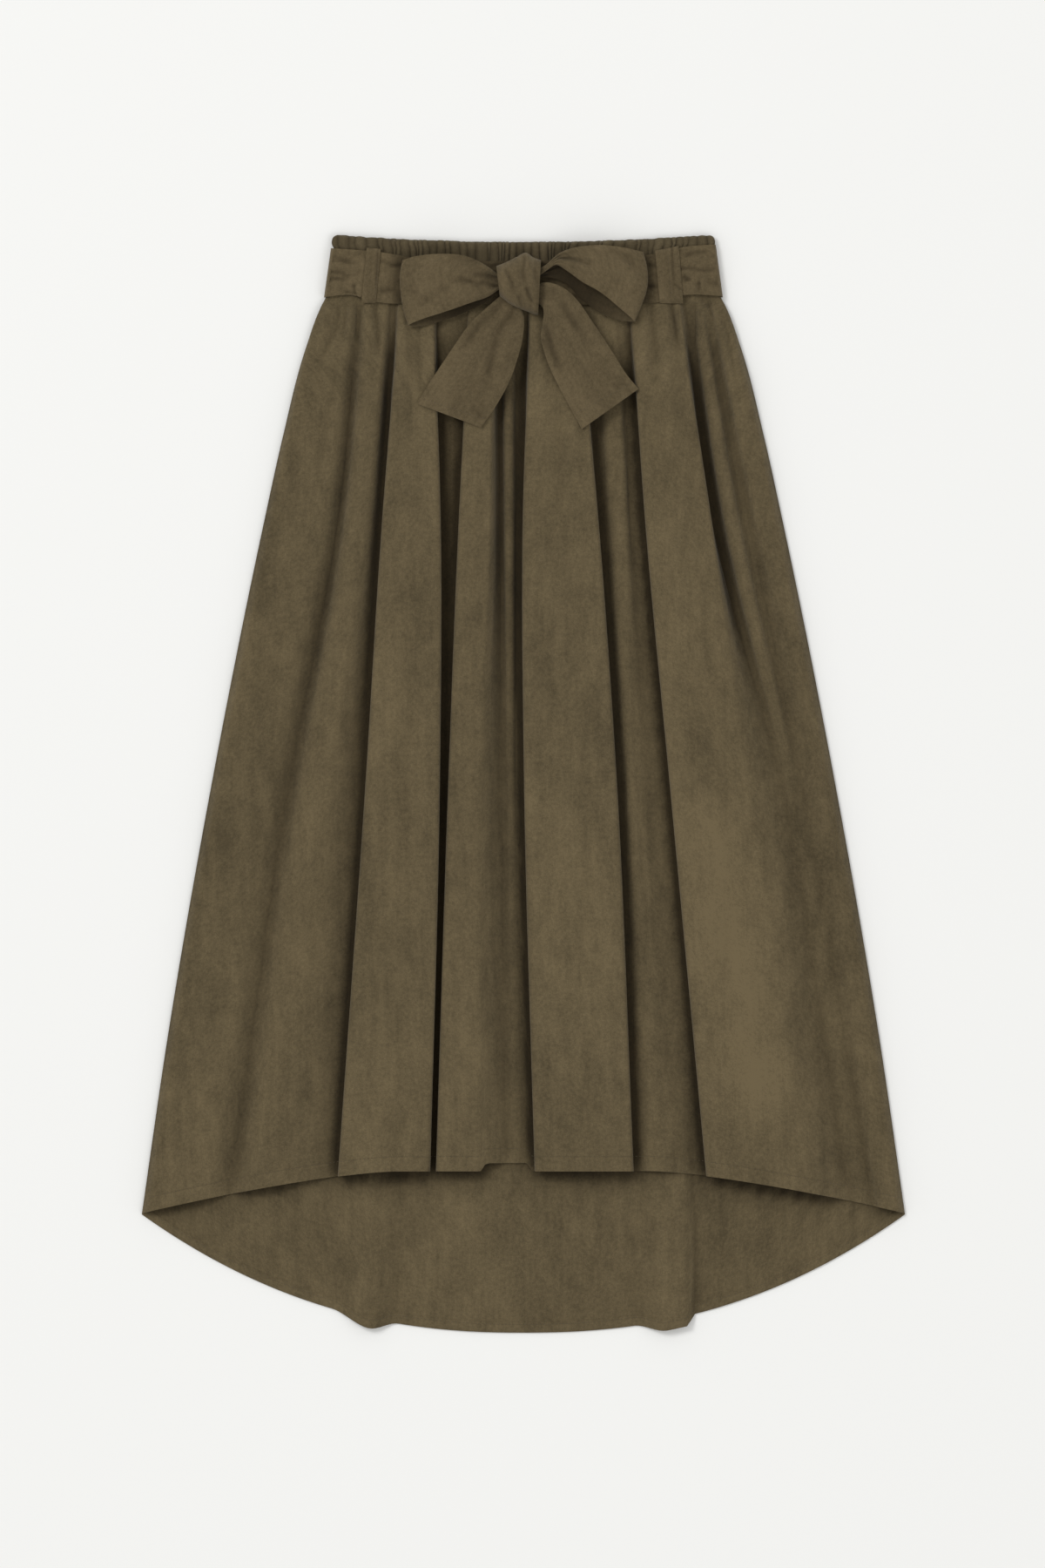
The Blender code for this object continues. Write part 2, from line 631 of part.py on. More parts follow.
def build_bow(finish):
    """The bow at the front: a wrap over the knot, two loops and two tails."""
    turns = 17
    rows = 9

    def loop_place(table, reach, side, depth):
        def place(column, row):
            turn = math.pi * column / (turns - 1)
            across = 1 - row / (rows - 1)
            return loop_point(table, reach, side, turn, across, depth)
        return place

    left = loop_place(LEFT_LOOP, LEFT_REACH, -1, LEFT_DEPTH)
    right = loop_place(RIGHT_LOOP, RIGHT_REACH, 1, RIGHT_DEPTH)
    sheet("bow_loop_left", turns, rows, finish, left)
    sheet("bow_loop_right", turns, rows, finish, right)

    for name, table, tail_rows in (("tail_left", LEFT_TAIL, 12), ("tail_right", RIGHT_TAIL, 13)):
        x, down, z = tail_points(table, TAIL_COLUMNS, tail_rows)

        def tail_place(column, row, x=x, down=down, z=z):
            return point(x[row, column], down[row, column], z[row, column])

        sheet(name, TAIL_COLUMNS, tail_rows, finish, tail_place)

    across_count = 9
    wrap_count = 11

    def knot_place(column, row):
        share = column / (across_count - 1)
        angle = math.pi * (1 - row / (wrap_count - 1))
        shares = [knot.share for knot in KNOT]
        names = ("top_x", "bottom_x", "top", "bottom")
        top_x, bottom_x, top, bottom = (
            float(through(shares, [getattr(knot, name) for knot in KNOT], share)) for name in names)
        sweep = 0.5 * (1 - math.cos(angle))
        rim = KNOT_TOP_RIM + (KNOT_LOW_RIM - KNOT_TOP_RIM) * sweep
        pleat = 0.6 * math.sin(2.5 * math.pi * share + 1.5 * sweep) * math.sin(angle)
        z = rim + KNOT_CROWN * math.sin(angle) ** 0.8 + pleat
        return point(top_x + (bottom_x - top_x) * sweep, top + (bottom - top) * sweep, z)

    sheet("bow_knot", across_count, wrap_count, finish, knot_place, wall=KNOT_WALL, offset=-1.0)


for old in list(bpy.data.objects):
    bpy.data.objects.remove(old, do_unlink=True)

skirt = bpy.data.collections.new("high_low_skirt")
bpy.context.scene.collection.children.link(skirt)

shell = material("shell", CLOTH_COLOUR)
sash = material("sash", BELT_COLOUR)
build_back(shell)
build_front(shell)
build_waistband(shell)
build_belt(sash)
build_straps(sash)
build_bow(sash)
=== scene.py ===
"""Looks of the high-low skirt, laid flat with its front up.

Sizes are in millimetres until a mesh is made: x across from the centre line,
"down" the distance below the top of the waistband, z above the table.
"""

import math
from collections import namedtuple

import bpy
import numpy as np
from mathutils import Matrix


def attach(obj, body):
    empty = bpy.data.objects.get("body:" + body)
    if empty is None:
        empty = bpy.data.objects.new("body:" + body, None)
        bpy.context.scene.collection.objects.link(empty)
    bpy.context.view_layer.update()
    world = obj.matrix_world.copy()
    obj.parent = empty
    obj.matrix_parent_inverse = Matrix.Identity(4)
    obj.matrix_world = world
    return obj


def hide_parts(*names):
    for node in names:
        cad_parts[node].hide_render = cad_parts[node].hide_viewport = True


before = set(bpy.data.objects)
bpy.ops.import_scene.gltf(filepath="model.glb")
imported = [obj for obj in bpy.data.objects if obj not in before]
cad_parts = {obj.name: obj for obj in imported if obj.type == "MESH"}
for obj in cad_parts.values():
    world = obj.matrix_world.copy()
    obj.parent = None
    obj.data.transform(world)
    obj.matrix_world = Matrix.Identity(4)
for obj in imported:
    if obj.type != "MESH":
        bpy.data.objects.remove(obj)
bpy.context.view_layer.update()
bpy.ops.object.select_all(action="DESELECT")


def rows_of(kind, *rows):
    """A table whose columns have names, from plain rows of values."""
    return [kind(*row) for row in rows]


# The table, the light and the camera. The skirt lies on a plain white table under a soft
# overhead light that comes a little from the upper left, and the camera looks straight down.
MM = 0.001
GARMENT_LENGTH = 970.0
TABLE_SIDE = 9.0
TABLE_DROP = 0.0004
TABLE_WHITE = (0.86, 0.86, 0.845)
FRAME_HEIGHT = 1.386
CAMERA_HEIGHT = 12.0
CAMERA_X = -0.0008
SENSOR = 36.0
CLIP_END = 60.0
TABLE_ROUGHNESS = 0.9
TABLE_SPECULAR = 0.1
SKY_COLOUR = (1.0, 1.0, 0.99, 1.0)
SKY_STRENGTH = 0.70
Lamp = namedtuple("Lamp", "name place side watts")
LAMPS = rows_of(
    Lamp,
    ("key", (-5.4, 4.4, 8.4), 3.6, 420.0),
    ("fill", (6.0, -3.4, 8.6), 5.0, 150.0),
)

bpy.ops.mesh.primitive_plane_add(size=TABLE_SIDE, location=(0.0, 0.0, 0.0))
table_top = bpy.context.object
table_top.name = "table_top"
table_top.data.vertices.foreach_set(
    "co", np.array([(x * TABLE_SIDE / 2, y * TABLE_SIDE / 2, -TABLE_DROP)
                    for y in (-1, 1) for x in (-1, 1)]).ravel())
table_finish = bpy.data.materials.new("white_table")
table_finish.use_nodes = True
table_shader = table_finish.node_tree.nodes["Principled BSDF"]
table_shader.inputs["Base Color"].default_value = (*TABLE_WHITE, 1.0)
table_shader.inputs["Roughness"].default_value = TABLE_ROUGHNESS
table_shader.inputs["Specular IOR Level"].default_value = TABLE_SPECULAR
table_top.data.materials.append(table_finish)

studio = bpy.data.worlds.new("soft_studio")
studio.use_nodes = True
sky = studio.node_tree.nodes["Background"]
sky.inputs["Color"].default_value = SKY_COLOUR
sky.inputs["Strength"].default_value = SKY_STRENGTH
bpy.context.scene.world = studio
bpy.context.scene.view_settings.view_transform = "Standard"

for row in LAMPS:
    bpy.ops.object.light_add(type="AREA", location=row.place)
    lamp = bpy.context.object
    lamp.name = row.name
    lamp.data.size = row.side
    lamp.data.energy = row.watts
    away = np.array(row.place) / np.linalg.norm(row.place)
    lamp.rotation_euler = (math.acos(away[2]), 0.0, math.atan2(away[1], away[0]) + math.pi / 2)

bpy.ops.object.camera_add(location=(CAMERA_X, 0.0, CAMERA_HEIGHT), rotation=(0.0, 0.0, 0.0))
camera = bpy.context.object
camera.data.sensor_width = SENSOR
camera.data.lens = SENSOR * CAMERA_HEIGHT / FRAME_HEIGHT
camera.data.clip_end = CLIP_END
bpy.context.scene.camera = camera
bpy.ops.object.select_all(action="DESELECT")

# The back panel: one flared piece of brushed, olive brown woven cloth, laid face down. It is
# flat but for two soft folds that grow towards its hem, and the hem is turned up on its inside.
WALL = 1.0
CLOTH = 1.2
SEAM_GAP = 0.3
FRONT_LENGTH = 827.0
SIDE_LENGTH = 865.5
HEM_HALF_WIDTH = 337.3
BELT_RIM = 59.3
SIDE_RIM = 55.2
BAND_DEPTH = 46.3
SIDE_DOWN = (46.6, 54.7, 59.3, 100.1, 177.1, 254.1, 485.1, 716.1, 864.7)
SIDE_HALF = (173.0, 174.5, 177.0, 192.5, 212.5, 229.5, 275.7, 315.7, 337.3)
BackFold = namedtuple("BackFold", "centre half height drop crisp")
BACK_FOLDS = rows_of(
    BackFold,
    (-0.415, 0.088, 6.0, 9.0, 0.45),
    (0.370, 0.080, 6.5, 9.0, 0.13),
)
BACK_FOLD_START = 700.0
BACK_HEM_CURVE = 2.3
BELT_STEP_END = 100.0
BELT_STEP_LENGTH = 36.0
BACK_COLUMNS = 190
BACK_ROWS = 96
BACK_HEM_ROWS = (0.0, 0.6, 3.0, 7.0, 8.6, 9.2, 9.8, 12.0, 18.0)
BACK_HEM_TURN = 9.0
SHELL_LIGHT = (0.152, 0.115, 0.060)
SHELL_DARK = (0.070, 0.053, 0.027)
# Painted shade: the colour that the cloth is darkened towards where it lies deep among folds or
# under other parts.
FOLD_SHADE = (0.25, 0.23, 0.19)
Crease = namedtuple("Crease", "height width line")


class Wire:
    """A socket of a finish that can be used in a sum, such as 1 - wear * 0.4."""

    def __init__(self, finish, socket):
        self.finish = finish
        self.socket = socket

    def maths(self, operation, *values):
        """A Math node on these values."""
        inputs = dict(enumerate(values))
        return self.finish.node("ShaderNodeMath", {"operation": operation}, inputs)

    def __add__(self, other):
        return self.maths("ADD", self, other)

    def __sub__(self, other):
        return self.maths("SUBTRACT", self, other)

    def __mul__(self, other):
        return self.maths("MULTIPLY", self, other)

    def __rsub__(self, other):
        return self.maths("SUBTRACT", other, self)

    __radd__ = __add__
    __rmul__ = __mul__


class Finish:
    """A material in the making."""

    def __init__(self, name):
        self.material = bpy.data.materials.new(name)
        self.material.use_nodes = True
        self.tree = self.material.node_tree
        self.shader = self.tree.nodes["Principled BSDF"]

    def join(self, made, inputs):
        """Give a node's sockets their values or links."""
        for key, value in inputs.items():
            if isinstance(value, Wire):
                self.tree.links.new(value.socket, made.inputs[key])
            else:
                made.inputs[key].default_value = value

    def node(self, kind, settings, inputs, output=0):
        """Add a node, set it, join it up and give back one of its outputs."""
        made = self.tree.nodes.new(kind)
        for key, value in settings.items():
            setattr(made, key, value)
        self.join(made, inputs)
        return Wire(self, made.outputs[output])


def woven(name, light, dark, weave=0.00062, rough=0.9, sheen=0.16):
    """Brushed cotton-like cloth: a fine weave, a short nap, cloudy upright washing marks, and
    painted light and painted shade read from its points.
    """
    finish = Finish(name)
    flat = finish.node("ShaderNodeUVMap", {"uv_map": "cloth"}, {})

    def noise(across, along, detail, roughness):
        place = finish.node("ShaderNodeVectorMath", {"operation": "MULTIPLY"},
                            {0: flat, 1: (across, along, 1.0)})
        return finish.node("ShaderNodeTexNoise", {}, {
            "Vector": place, "Scale": 1.0, "Detail": detail, "Roughness": roughness})

    clouds = noise(13.0, 4.2, 3.0, 0.55)
    patches = noise(42.0, 17.0, 4.0, 0.6)
    streaks = noise(150.0, 14.0, 3.0, 0.6)
    blots = noise(95.0, 60.0, 3.0, 0.6)
    nap = noise(330.0, 290.0, 3.0, 0.6)
    grain = noise(900.0, 850.0, 2.0, 0.7)
    painted_light = finish.node("ShaderNodeAttribute", {"attribute_name": "painted_light"}, {}, 2)
    depth = finish.node("ShaderNodeAttribute", {"attribute_name": "depth"}, {}, 2)
    u = finish.node("ShaderNodeSeparateXYZ", {}, {0: flat}, 0)
    v = finish.node("ShaderNodeSeparateXYZ", {}, {0: flat}, 1)
    turns = 2 * math.pi / weave
    over_under = (u * turns).maths("SINE", u * turns) * (v * turns).maths("SINE", v * turns)
    # The tone takes in broad patches of painted light and painted shade as well as its own
    # mottling.
    tone = (0.5 + painted_light + (clouds - 0.5) * 0.90 + (patches - 0.5) * 0.95 + (streaks - 0.5) * 0.50
            + (blots - 0.5) * 0.75 + (nap - 0.5) * 1.10 + (grain - 0.5) * 1.00 + over_under * 0.04)
    open_colour = finish.node("ShaderNodeMix", {"data_type": "RGBA", "clamp_factor": True},
                              {0: tone, 6: (*dark, 1.0), 7: (*light, 1.0)}, 2)
    # Painted shade: the colour is darkened towards FOLD_SHADE by the depth that each point is
    # given.
    colour = finish.node(
        "ShaderNodeMix", {"data_type": "RGBA", "blend_type": "MULTIPLY", "clamp_factor": True},
        {0: depth, 6: open_colour, 7: (*FOLD_SHADE, 1.0)}, 2)
    relief = over_under * 0.25 + grain * 0.5 + nap * 0.4 + patches * 0.5
    bump = finish.node("ShaderNodeBump", {}, {
        "Strength": 0.5, "Distance": 0.0006, "Height": relief})
    finish.join(finish.shader, {
        "Base Color": colour, "Normal": bump,
        "Roughness": rough + (grain - 0.5) * 0.12,
        "Specular IOR Level": 0.18, "Sheen Weight": sheen, "Sheen Roughness": 0.45})
    finish.shader.inputs["Sheen Tint"].default_value = (0.80, 0.74, 0.62, 1.0)
    return finish.material


def through(stations, values, at):
    """A smooth curve through values at rising stations, straight beyond both ends."""
    stations = np.asarray(stations, float)
    values = np.asarray(values, float)
    at = np.asarray(at, float)
    steps = np.diff(stations)
    rates = np.diff(values) / steps
    slopes = np.empty_like(values)
    slopes[0] = rates[0]
    slopes[-1] = rates[-1]
    slopes[1:-1] = (rates[:-1] * steps[1:] + rates[1:] * steps[:-1]) / (steps[1:] + steps[:-1])
    span = np.clip(np.searchsorted(stations, at) - 1, 0, len(steps) - 1)
    inside = np.clip(at, stations[0], stations[-1])
    beyond = at - inside
    t = (inside - stations[span]) / steps[span]
    curve = ((1 + 2 * t) * (1 - t) ** 2 * values[span]
             + t * (1 - t) ** 2 * steps[span] * slopes[span]
             + t * t * (3 - 2 * t) * values[span + 1]
             - t * t * (1 - t) * steps[span] * slopes[span + 1])
    return curve + beyond * np.where(beyond < 0, slopes[0], slopes[-1])


def read(table, at):
    """Smooth curves through a table's other columns, at places along its first one."""
    first, *others = zip(*table)
    return [through(first, values, at) for values in others]


def smooth(t):
    """Ease from 0 to 1 as t goes from 0 to 1."""
    t = np.clip(t, 0.0, 1.0)
    return t * t * (3 - 2 * t)


def half_width(down):
    """Half width of the laid skirt."""
    return through(SIDE_DOWN, SIDE_HALF, np.minimum(down, SIDE_DOWN[-1]))


def creased(x, down, creases):
    """Height that creases add: each is a line that fades at its ends, a width and a height."""
    lift = np.zeros(np.broadcast(x, down).shape)
    for crease in creases:
        nearest = np.full(lift.shape, 1e9)
        along = np.zeros(lift.shape)
        spans = list(zip(crease.line[:-1], crease.line[1:]))
        for count, ((x0, down0), (x1, down1)) in enumerate(spans):
            run = (x1 - x0, down1 - down0)
            share = ((x - x0) * run[0] + (down - down0) * run[1]) / (run[0] ** 2 + run[1] ** 2)
            share = np.clip(share, 0.0, 1.0)
            away = np.hypot(x - x0 - share * run[0], down - down0 - share * run[1])
            closer = away < nearest
            nearest = np.where(closer, away, nearest)
            along = np.where(closer, (count + share) / len(spans), along)
        fade = smooth(along / 0.18 + 0.35) * smooth((1 - along) / 0.4)
        lift += crease.height * fade * np.exp(-(nearest / crease.width) ** 2)
    return lift


def unevenness(x, down, seed, amount, across=70.0, along=160.0):
    """Slight swells of handled cloth, the same each time for a seed."""
    chance = np.random.default_rng(seed)
    swell = 0.0
    for _ in range(9):
        turn_x = 2 * math.pi / (across * chance.uniform(0.6, 1.6))
        turn_down = 2 * math.pi / (along * chance.uniform(0.5, 1.8))
        swell = swell + np.sin(turn_x * x + chance.uniform(0, 7)) * np.sin(
            turn_down * down + chance.uniform(0, 7) + 0.01 * x)
    return amount * swell / 3.0


def shell_of(node, outer, inner, finish, slot):
    """A node's closed shell of cloth between two grids of points, with a flat UV map."""
    name = node + "_cloth"
    rows, columns, _ = outer.shape
    bpy.ops.object.select_all(action="DESELECT")
    bpy.ops.mesh.primitive_grid_add(x_subdivisions=columns - 1, y_subdivisions=rows - 1)
    piece = bpy.context.object
    piece.name = name
    wall = piece.modifiers.new("wall", "SOLIDIFY")
    wall.thickness = 0.001
    wall.offset = -1.0
    bpy.ops.object.modifier_apply(modifier="wall")
    mesh = piece.data
    mesh.name = name
    both = np.concatenate((outer.reshape(-1, 3), inner.reshape(-1, 3)))
    places = np.stack((both[:, 0], GARMENT_LENGTH / 2 - both[:, 1], both[:, 2]), axis=1) * MM
    mesh.vertices.foreach_set("co", places.ravel())
    middle = (outer + inner) / 2
    step_across = np.linalg.norm(np.diff(middle, axis=1), axis=2)
    step_along = np.linalg.norm(np.diff(middle, axis=0), axis=2)
    u = np.pad(np.cumsum(step_across, axis=1), ((0, 0), (1, 0)))
    u = u - u[:, columns // 2:columns // 2 + 1]
    v = np.pad(np.cumsum(step_along, axis=0), ((1, 0), (0, 0)))
    flat = np.stack((u, v), axis=2).reshape(-1, 2) * MM
    corner = np.empty(len(mesh.loops), dtype=np.int32)
    mesh.loops.foreach_get("vertex_index", corner)
    for old in list(mesh.uv_layers):
        mesh.uv_layers.remove(old)
    layer = mesh.uv_layers.new(name="cloth")
    layer.data.foreach_set("uv", flat[corner % (rows * columns)].ravel())
    mesh.materials.clear()
    mesh.materials.append(finish)
    mesh.update()
    bpy.ops.object.shade_smooth_by_angle(angle=math.radians(60))
    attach(piece, "root")
    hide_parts(node)
    return piece


def mark(piece, name, values):
    """Give a piece's points, on both sides of its wall, a value that its finish reads."""
    layer = piece.data.attributes.new(name, "FLOAT", "POINT")
    values = np.clip(np.asarray(values, float), -1.0, 1.0).ravel()
    layer.data.foreach_set("value", np.resize(values, len(piece.data.vertices)))


def walled(middle, wall=WALL, lean=0.0):
    """Outer and inner points of a wall round middle points. lean moves the wall outwards."""
    across = np.gradient(middle, axis=1)
    along = np.gradient(middle, axis=0)
    flipped = np.array((1.0, -1.0, 1.0))
    normal = np.cross(across * flipped, along * flipped) * flipped
    normal /= np.maximum(np.linalg.norm(normal, axis=2, keepdims=True), 1e-9)
    return middle + normal * wall * (0.5 + lean), middle - normal * wall * (0.5 - lean)


def fold_shape(share, fold):
    """One fold of the back: 1 on its top, 0 at its feet, with one side crisper."""
    from_left = (share - fold.centre + fold.half) / (2 * fold.half)
    return smooth(from_left / 0.55) * smooth((1.0 - from_left) / fold.crisp)


def back_hem(share):
    """Distance down to the back hem at a share of the half width."""
    plain = SIDE_LENGTH + (GARMENT_LENGTH - SIDE_LENGTH) * (1 - np.abs(share) ** BACK_HEM_CURVE)
    for fold in BACK_FOLDS:
        plain = plain + fold.drop * fold_shape(share, fold)
    return plain


def back_rise(x, down):
    """Height of the back panel's folds, which grow towards the hem."""
    share = x / half_width(down)
    grown = smooth((down - BACK_FOLD_START) / (GARMENT_LENGTH - BACK_FOLD_START))
    rise = 0.0
    for fold in BACK_FOLDS:
        rise = rise + fold.height * fold_shape(share, fold) * grown
    return rise


def belt_step(down):
    """How far the belt's back stretch lifts the panels near the waist."""
    return (CLOTH + SEAM_GAP) * smooth((BELT_STEP_END - down) / BELT_STEP_LENGTH)


BACK_CREASES = rows_of(
    Crease,
    (1.4, 14.0, ((-0.8, 854.7), (-0.8, 900.9), (0.0, 967.9))),
    (0.9, 9.0, ((-100.9, 858.6), (-96.2, 900.9), (-93.2, 962.5))),
    (0.7, 6.0, ((-50.8, 854.7), (-51.6, 908.6), (-54.7, 965.6))),
    (0.9, 8.0, ((49.3, 854.7), (51.6, 908.6), (54.7, 965.6))),
    (1.0, 12.0, ((-231.8, 858.6), (-208.7, 885.5), (-191.7, 930.2))),
    (0.8, 10.0, ((207.1, 858.6), (197.9, 885.5), (193.3, 925.5))),
)
olive_shell = woven("olive_shell", SHELL_LIGHT, SHELL_DARK)
share = np.linspace(-1.0, 1.0, BACK_COLUMNS)[None, :]
hem = back_hem(share)
hem_rows = np.array(BACK_HEM_ROWS)[:, None]
upward = np.linspace(0.0, 1.0, BACK_ROWS + 1)[1:, None]
above_hem = hem - BACK_HEM_ROWS[-1]
down = np.concatenate((hem - hem_rows, above_hem + (BAND_DEPTH + SEAM_GAP - above_hem) * upward))
x = share * half_width(down)
under = belt_step(down) + back_rise(x, down)
towards_hem = smooth((down - BACK_FOLD_START) / (GARMENT_LENGTH - BACK_FOLD_START))
lift = np.maximum(creased(x, down, BACK_CREASES) + 0.25 * unevenness(x, down, 5, 1.0), 0.0)
lift = lift * towards_hem * smooth((1 - np.abs(share)) / 0.1)
turned_up = 0.7 * smooth((BACK_HEM_TURN + 0.3 - (hem - down)) / 0.6)
outer_z = under + lift + WALL + turned_up * smooth((hem - down) / 0.8 + 0.2)
back_top = np.stack((x, down, outer_z), axis=2)
back_cloth = shell_of("back_panel", back_top, np.stack((x, down, under + lift), axis=2),
                      olive_shell, "shell")

# The front panel: a wide flared piece gathered into the waistband, whose pleats lie over each
# other down to the hem. Each fold is given left to right by its edges at four levels.
LEVELS = (59.3, 254.1, 485.1, 823.9)
SIDE_ROLL = (2.0, 8.0, 8.0, 8.0)
Fold = namedtuple("Fold", "name left right under_left under_right rise crest waves")
FOLDS = rows_of(
    Fold,
    ("left_side", None, (-152.5, -176.3, -225.6, -278.0),
     None, (-6.5, -11.0, -17.0, -20.0), (6.0, 7.0, 7.0, 7.0), 12, 2),
    ("left_soft", (-137.1, -154.8, -193.3, -239.5), (-120.0, -137.1, -170.2, -211.0),
     (-7.0, -8.0, -12.5, -15.5), (-4.0, -9.0, -26.0, -43.0), (9.0, 10.0, 10.0, 9.0), 8, 1),
    ("left_broad", (-109.5, -125.5, -140.1, -164.0), (-79.0, -72.4, -73.2, -81.6),
     (-2.5, 4.0, 5.0, 5.0), (-2.5, 5.0, 5.0, 4.0), (15.0, 15.0, 15.0, 15.0), 20, 2),
    ("left_narrow", (-47.5, -57.8, -67.0, -77.8), (-27.0, -28.3, -37.0, -39.3),
     (-2.5, 3.0, 4.0, 3.0), (-2.3, -6.0, -16.5, -22.5), (13.0, 13.0, 13.0, 13.0), 10, 1),
    ("middle_low", (-17.5, -16.0, -13.0, -8.0), (-9.5, -9.5, -9.0, -3.0),
     (-1.5, -2.0, -3.0, -4.5), (-2.5, -3.0, -3.0, -5.0), (4.0, 3.5, 1.2, 0.8), 3, 0),
    ("middle_broad", (6.0, -1.2, 0.0, 9.2), (49.0, 67.0, 83.2, 97.8),
     (-2.5, 4.0, 5.0, 5.0), (-2.5, 2.5, 2.5, 2.5), (15.0, 16.0, 16.0, 15.0), 22, 2),
    ("right_low", (64.5, 78.5, 93.0, 111.5), (79.5, 91.5, 100.1, 126.3),
     (-4.0, -5.5, -5.0, -9.0), (-4.0, -4.5, -10.0, -12.0), (4.0, 4.5, 3.5, 3.0), 4, 0),
    ("right_broad", (94.0, 107.0, 128.6, 160.2), (137.0, 167.1, 199.4, 253.3),
     (-2.5, 5.0, 6.0, 6.0), (-3.0, 1.5, -27.0, -29.0), (15.0, 16.0, 16.0, 16.0), 22, 2),
    ("right_soft", (149.5, 179.0, 234.0, 290.0), (156.0, 188.5, 240.0, 296.0),
     (-3.0, -4.0, -4.0, -4.0), (-3.5, -5.5, -4.0, -4.0), (7.0, 8.0, 0.8, 0.5), 3, 0),
    ("right_side", (166.5, 208.7, 263.0, 311.0), None,
     (-2.5, -8.0, -16.0, -7.5), None, (6.0, 8.0, 8.0, 7.0), 6, 0),
)
FOLD_STEPS = 8
VALLEY_STEPS = 4
EDGE_ROUNDING = 1.6
TURN_LIMIT = 0.045
CREST_CROWN = 0.6
GATHER_HEIGHT = 1.1
WAIST_SHARE = 0.17
PUFF_START = 61.5
PUFF_END = 150.0
PUFF_LENGTH = 90.0
STEP_LAG = 14.0
GATHER_LENGTH = 60.0
WAIST_PUFF = 1.4
MIDDLE_HEM_LIFT = 7.0
MIDDLE_HEM = (-38.5, 8.5)
MIDDLE_HEM_EASE = 6.0
FRONT_HEM_LEVEL = 115.5
FRONT_HEM_CURVE = 1.4
FRONT_ROWS = 138
FRONT_SPREAD = 1.3
FRONT_HEM_ROWS = (0.0, 1.0, 4.0, 8.0, 11.2, 12.4, 13.0, 13.6, 14.8, 18.0)
FRONT_HEM_SEAM = 13.0
MAP_STEP = 2.0
MAP_LEFT = -345.0
MAP_TOP = 40.0
MAP_SIZE = (346, 473)
# Broad paler and darker patches of painted light and painted shade, where the light falls unevenly
# on the laid skirt.
PAINTED_LIGHT_PATCHES = rows_of(
    Crease,
    (0.45, 32.0, ((153.2, 485.1), (181.0, 623.7), (205.6, 746.9), (214.8, 827.8))),
    (0.20, 26.0, ((122.4, 223.3), (140.9, 346.5), (157.8, 469.7))),
    (0.18, 34.0, ((37.7, 485.1), (48.5, 623.7), (51.6, 777.7))),
    (-0.18, 40.0, ((-285.7, 485.1), (-301.1, 623.7), (-316.5, 816.2))),
    (-0.16, 36.0, ((253.3, 377.3), (284.1, 546.7), (307.2, 754.6))),
    (-0.12, 26.0, ((-208.7, 177.1), (-231.8, 284.9), (-247.2, 408.1))),
    (-0.25, 30.0, ((-208.7, 870.1), (-177.9, 900.9), (-154.8, 939.4))),
    (-0.15, 30.0, ((168.6, 862.4), (199.4, 885.5), (230.2, 900.9))),
)
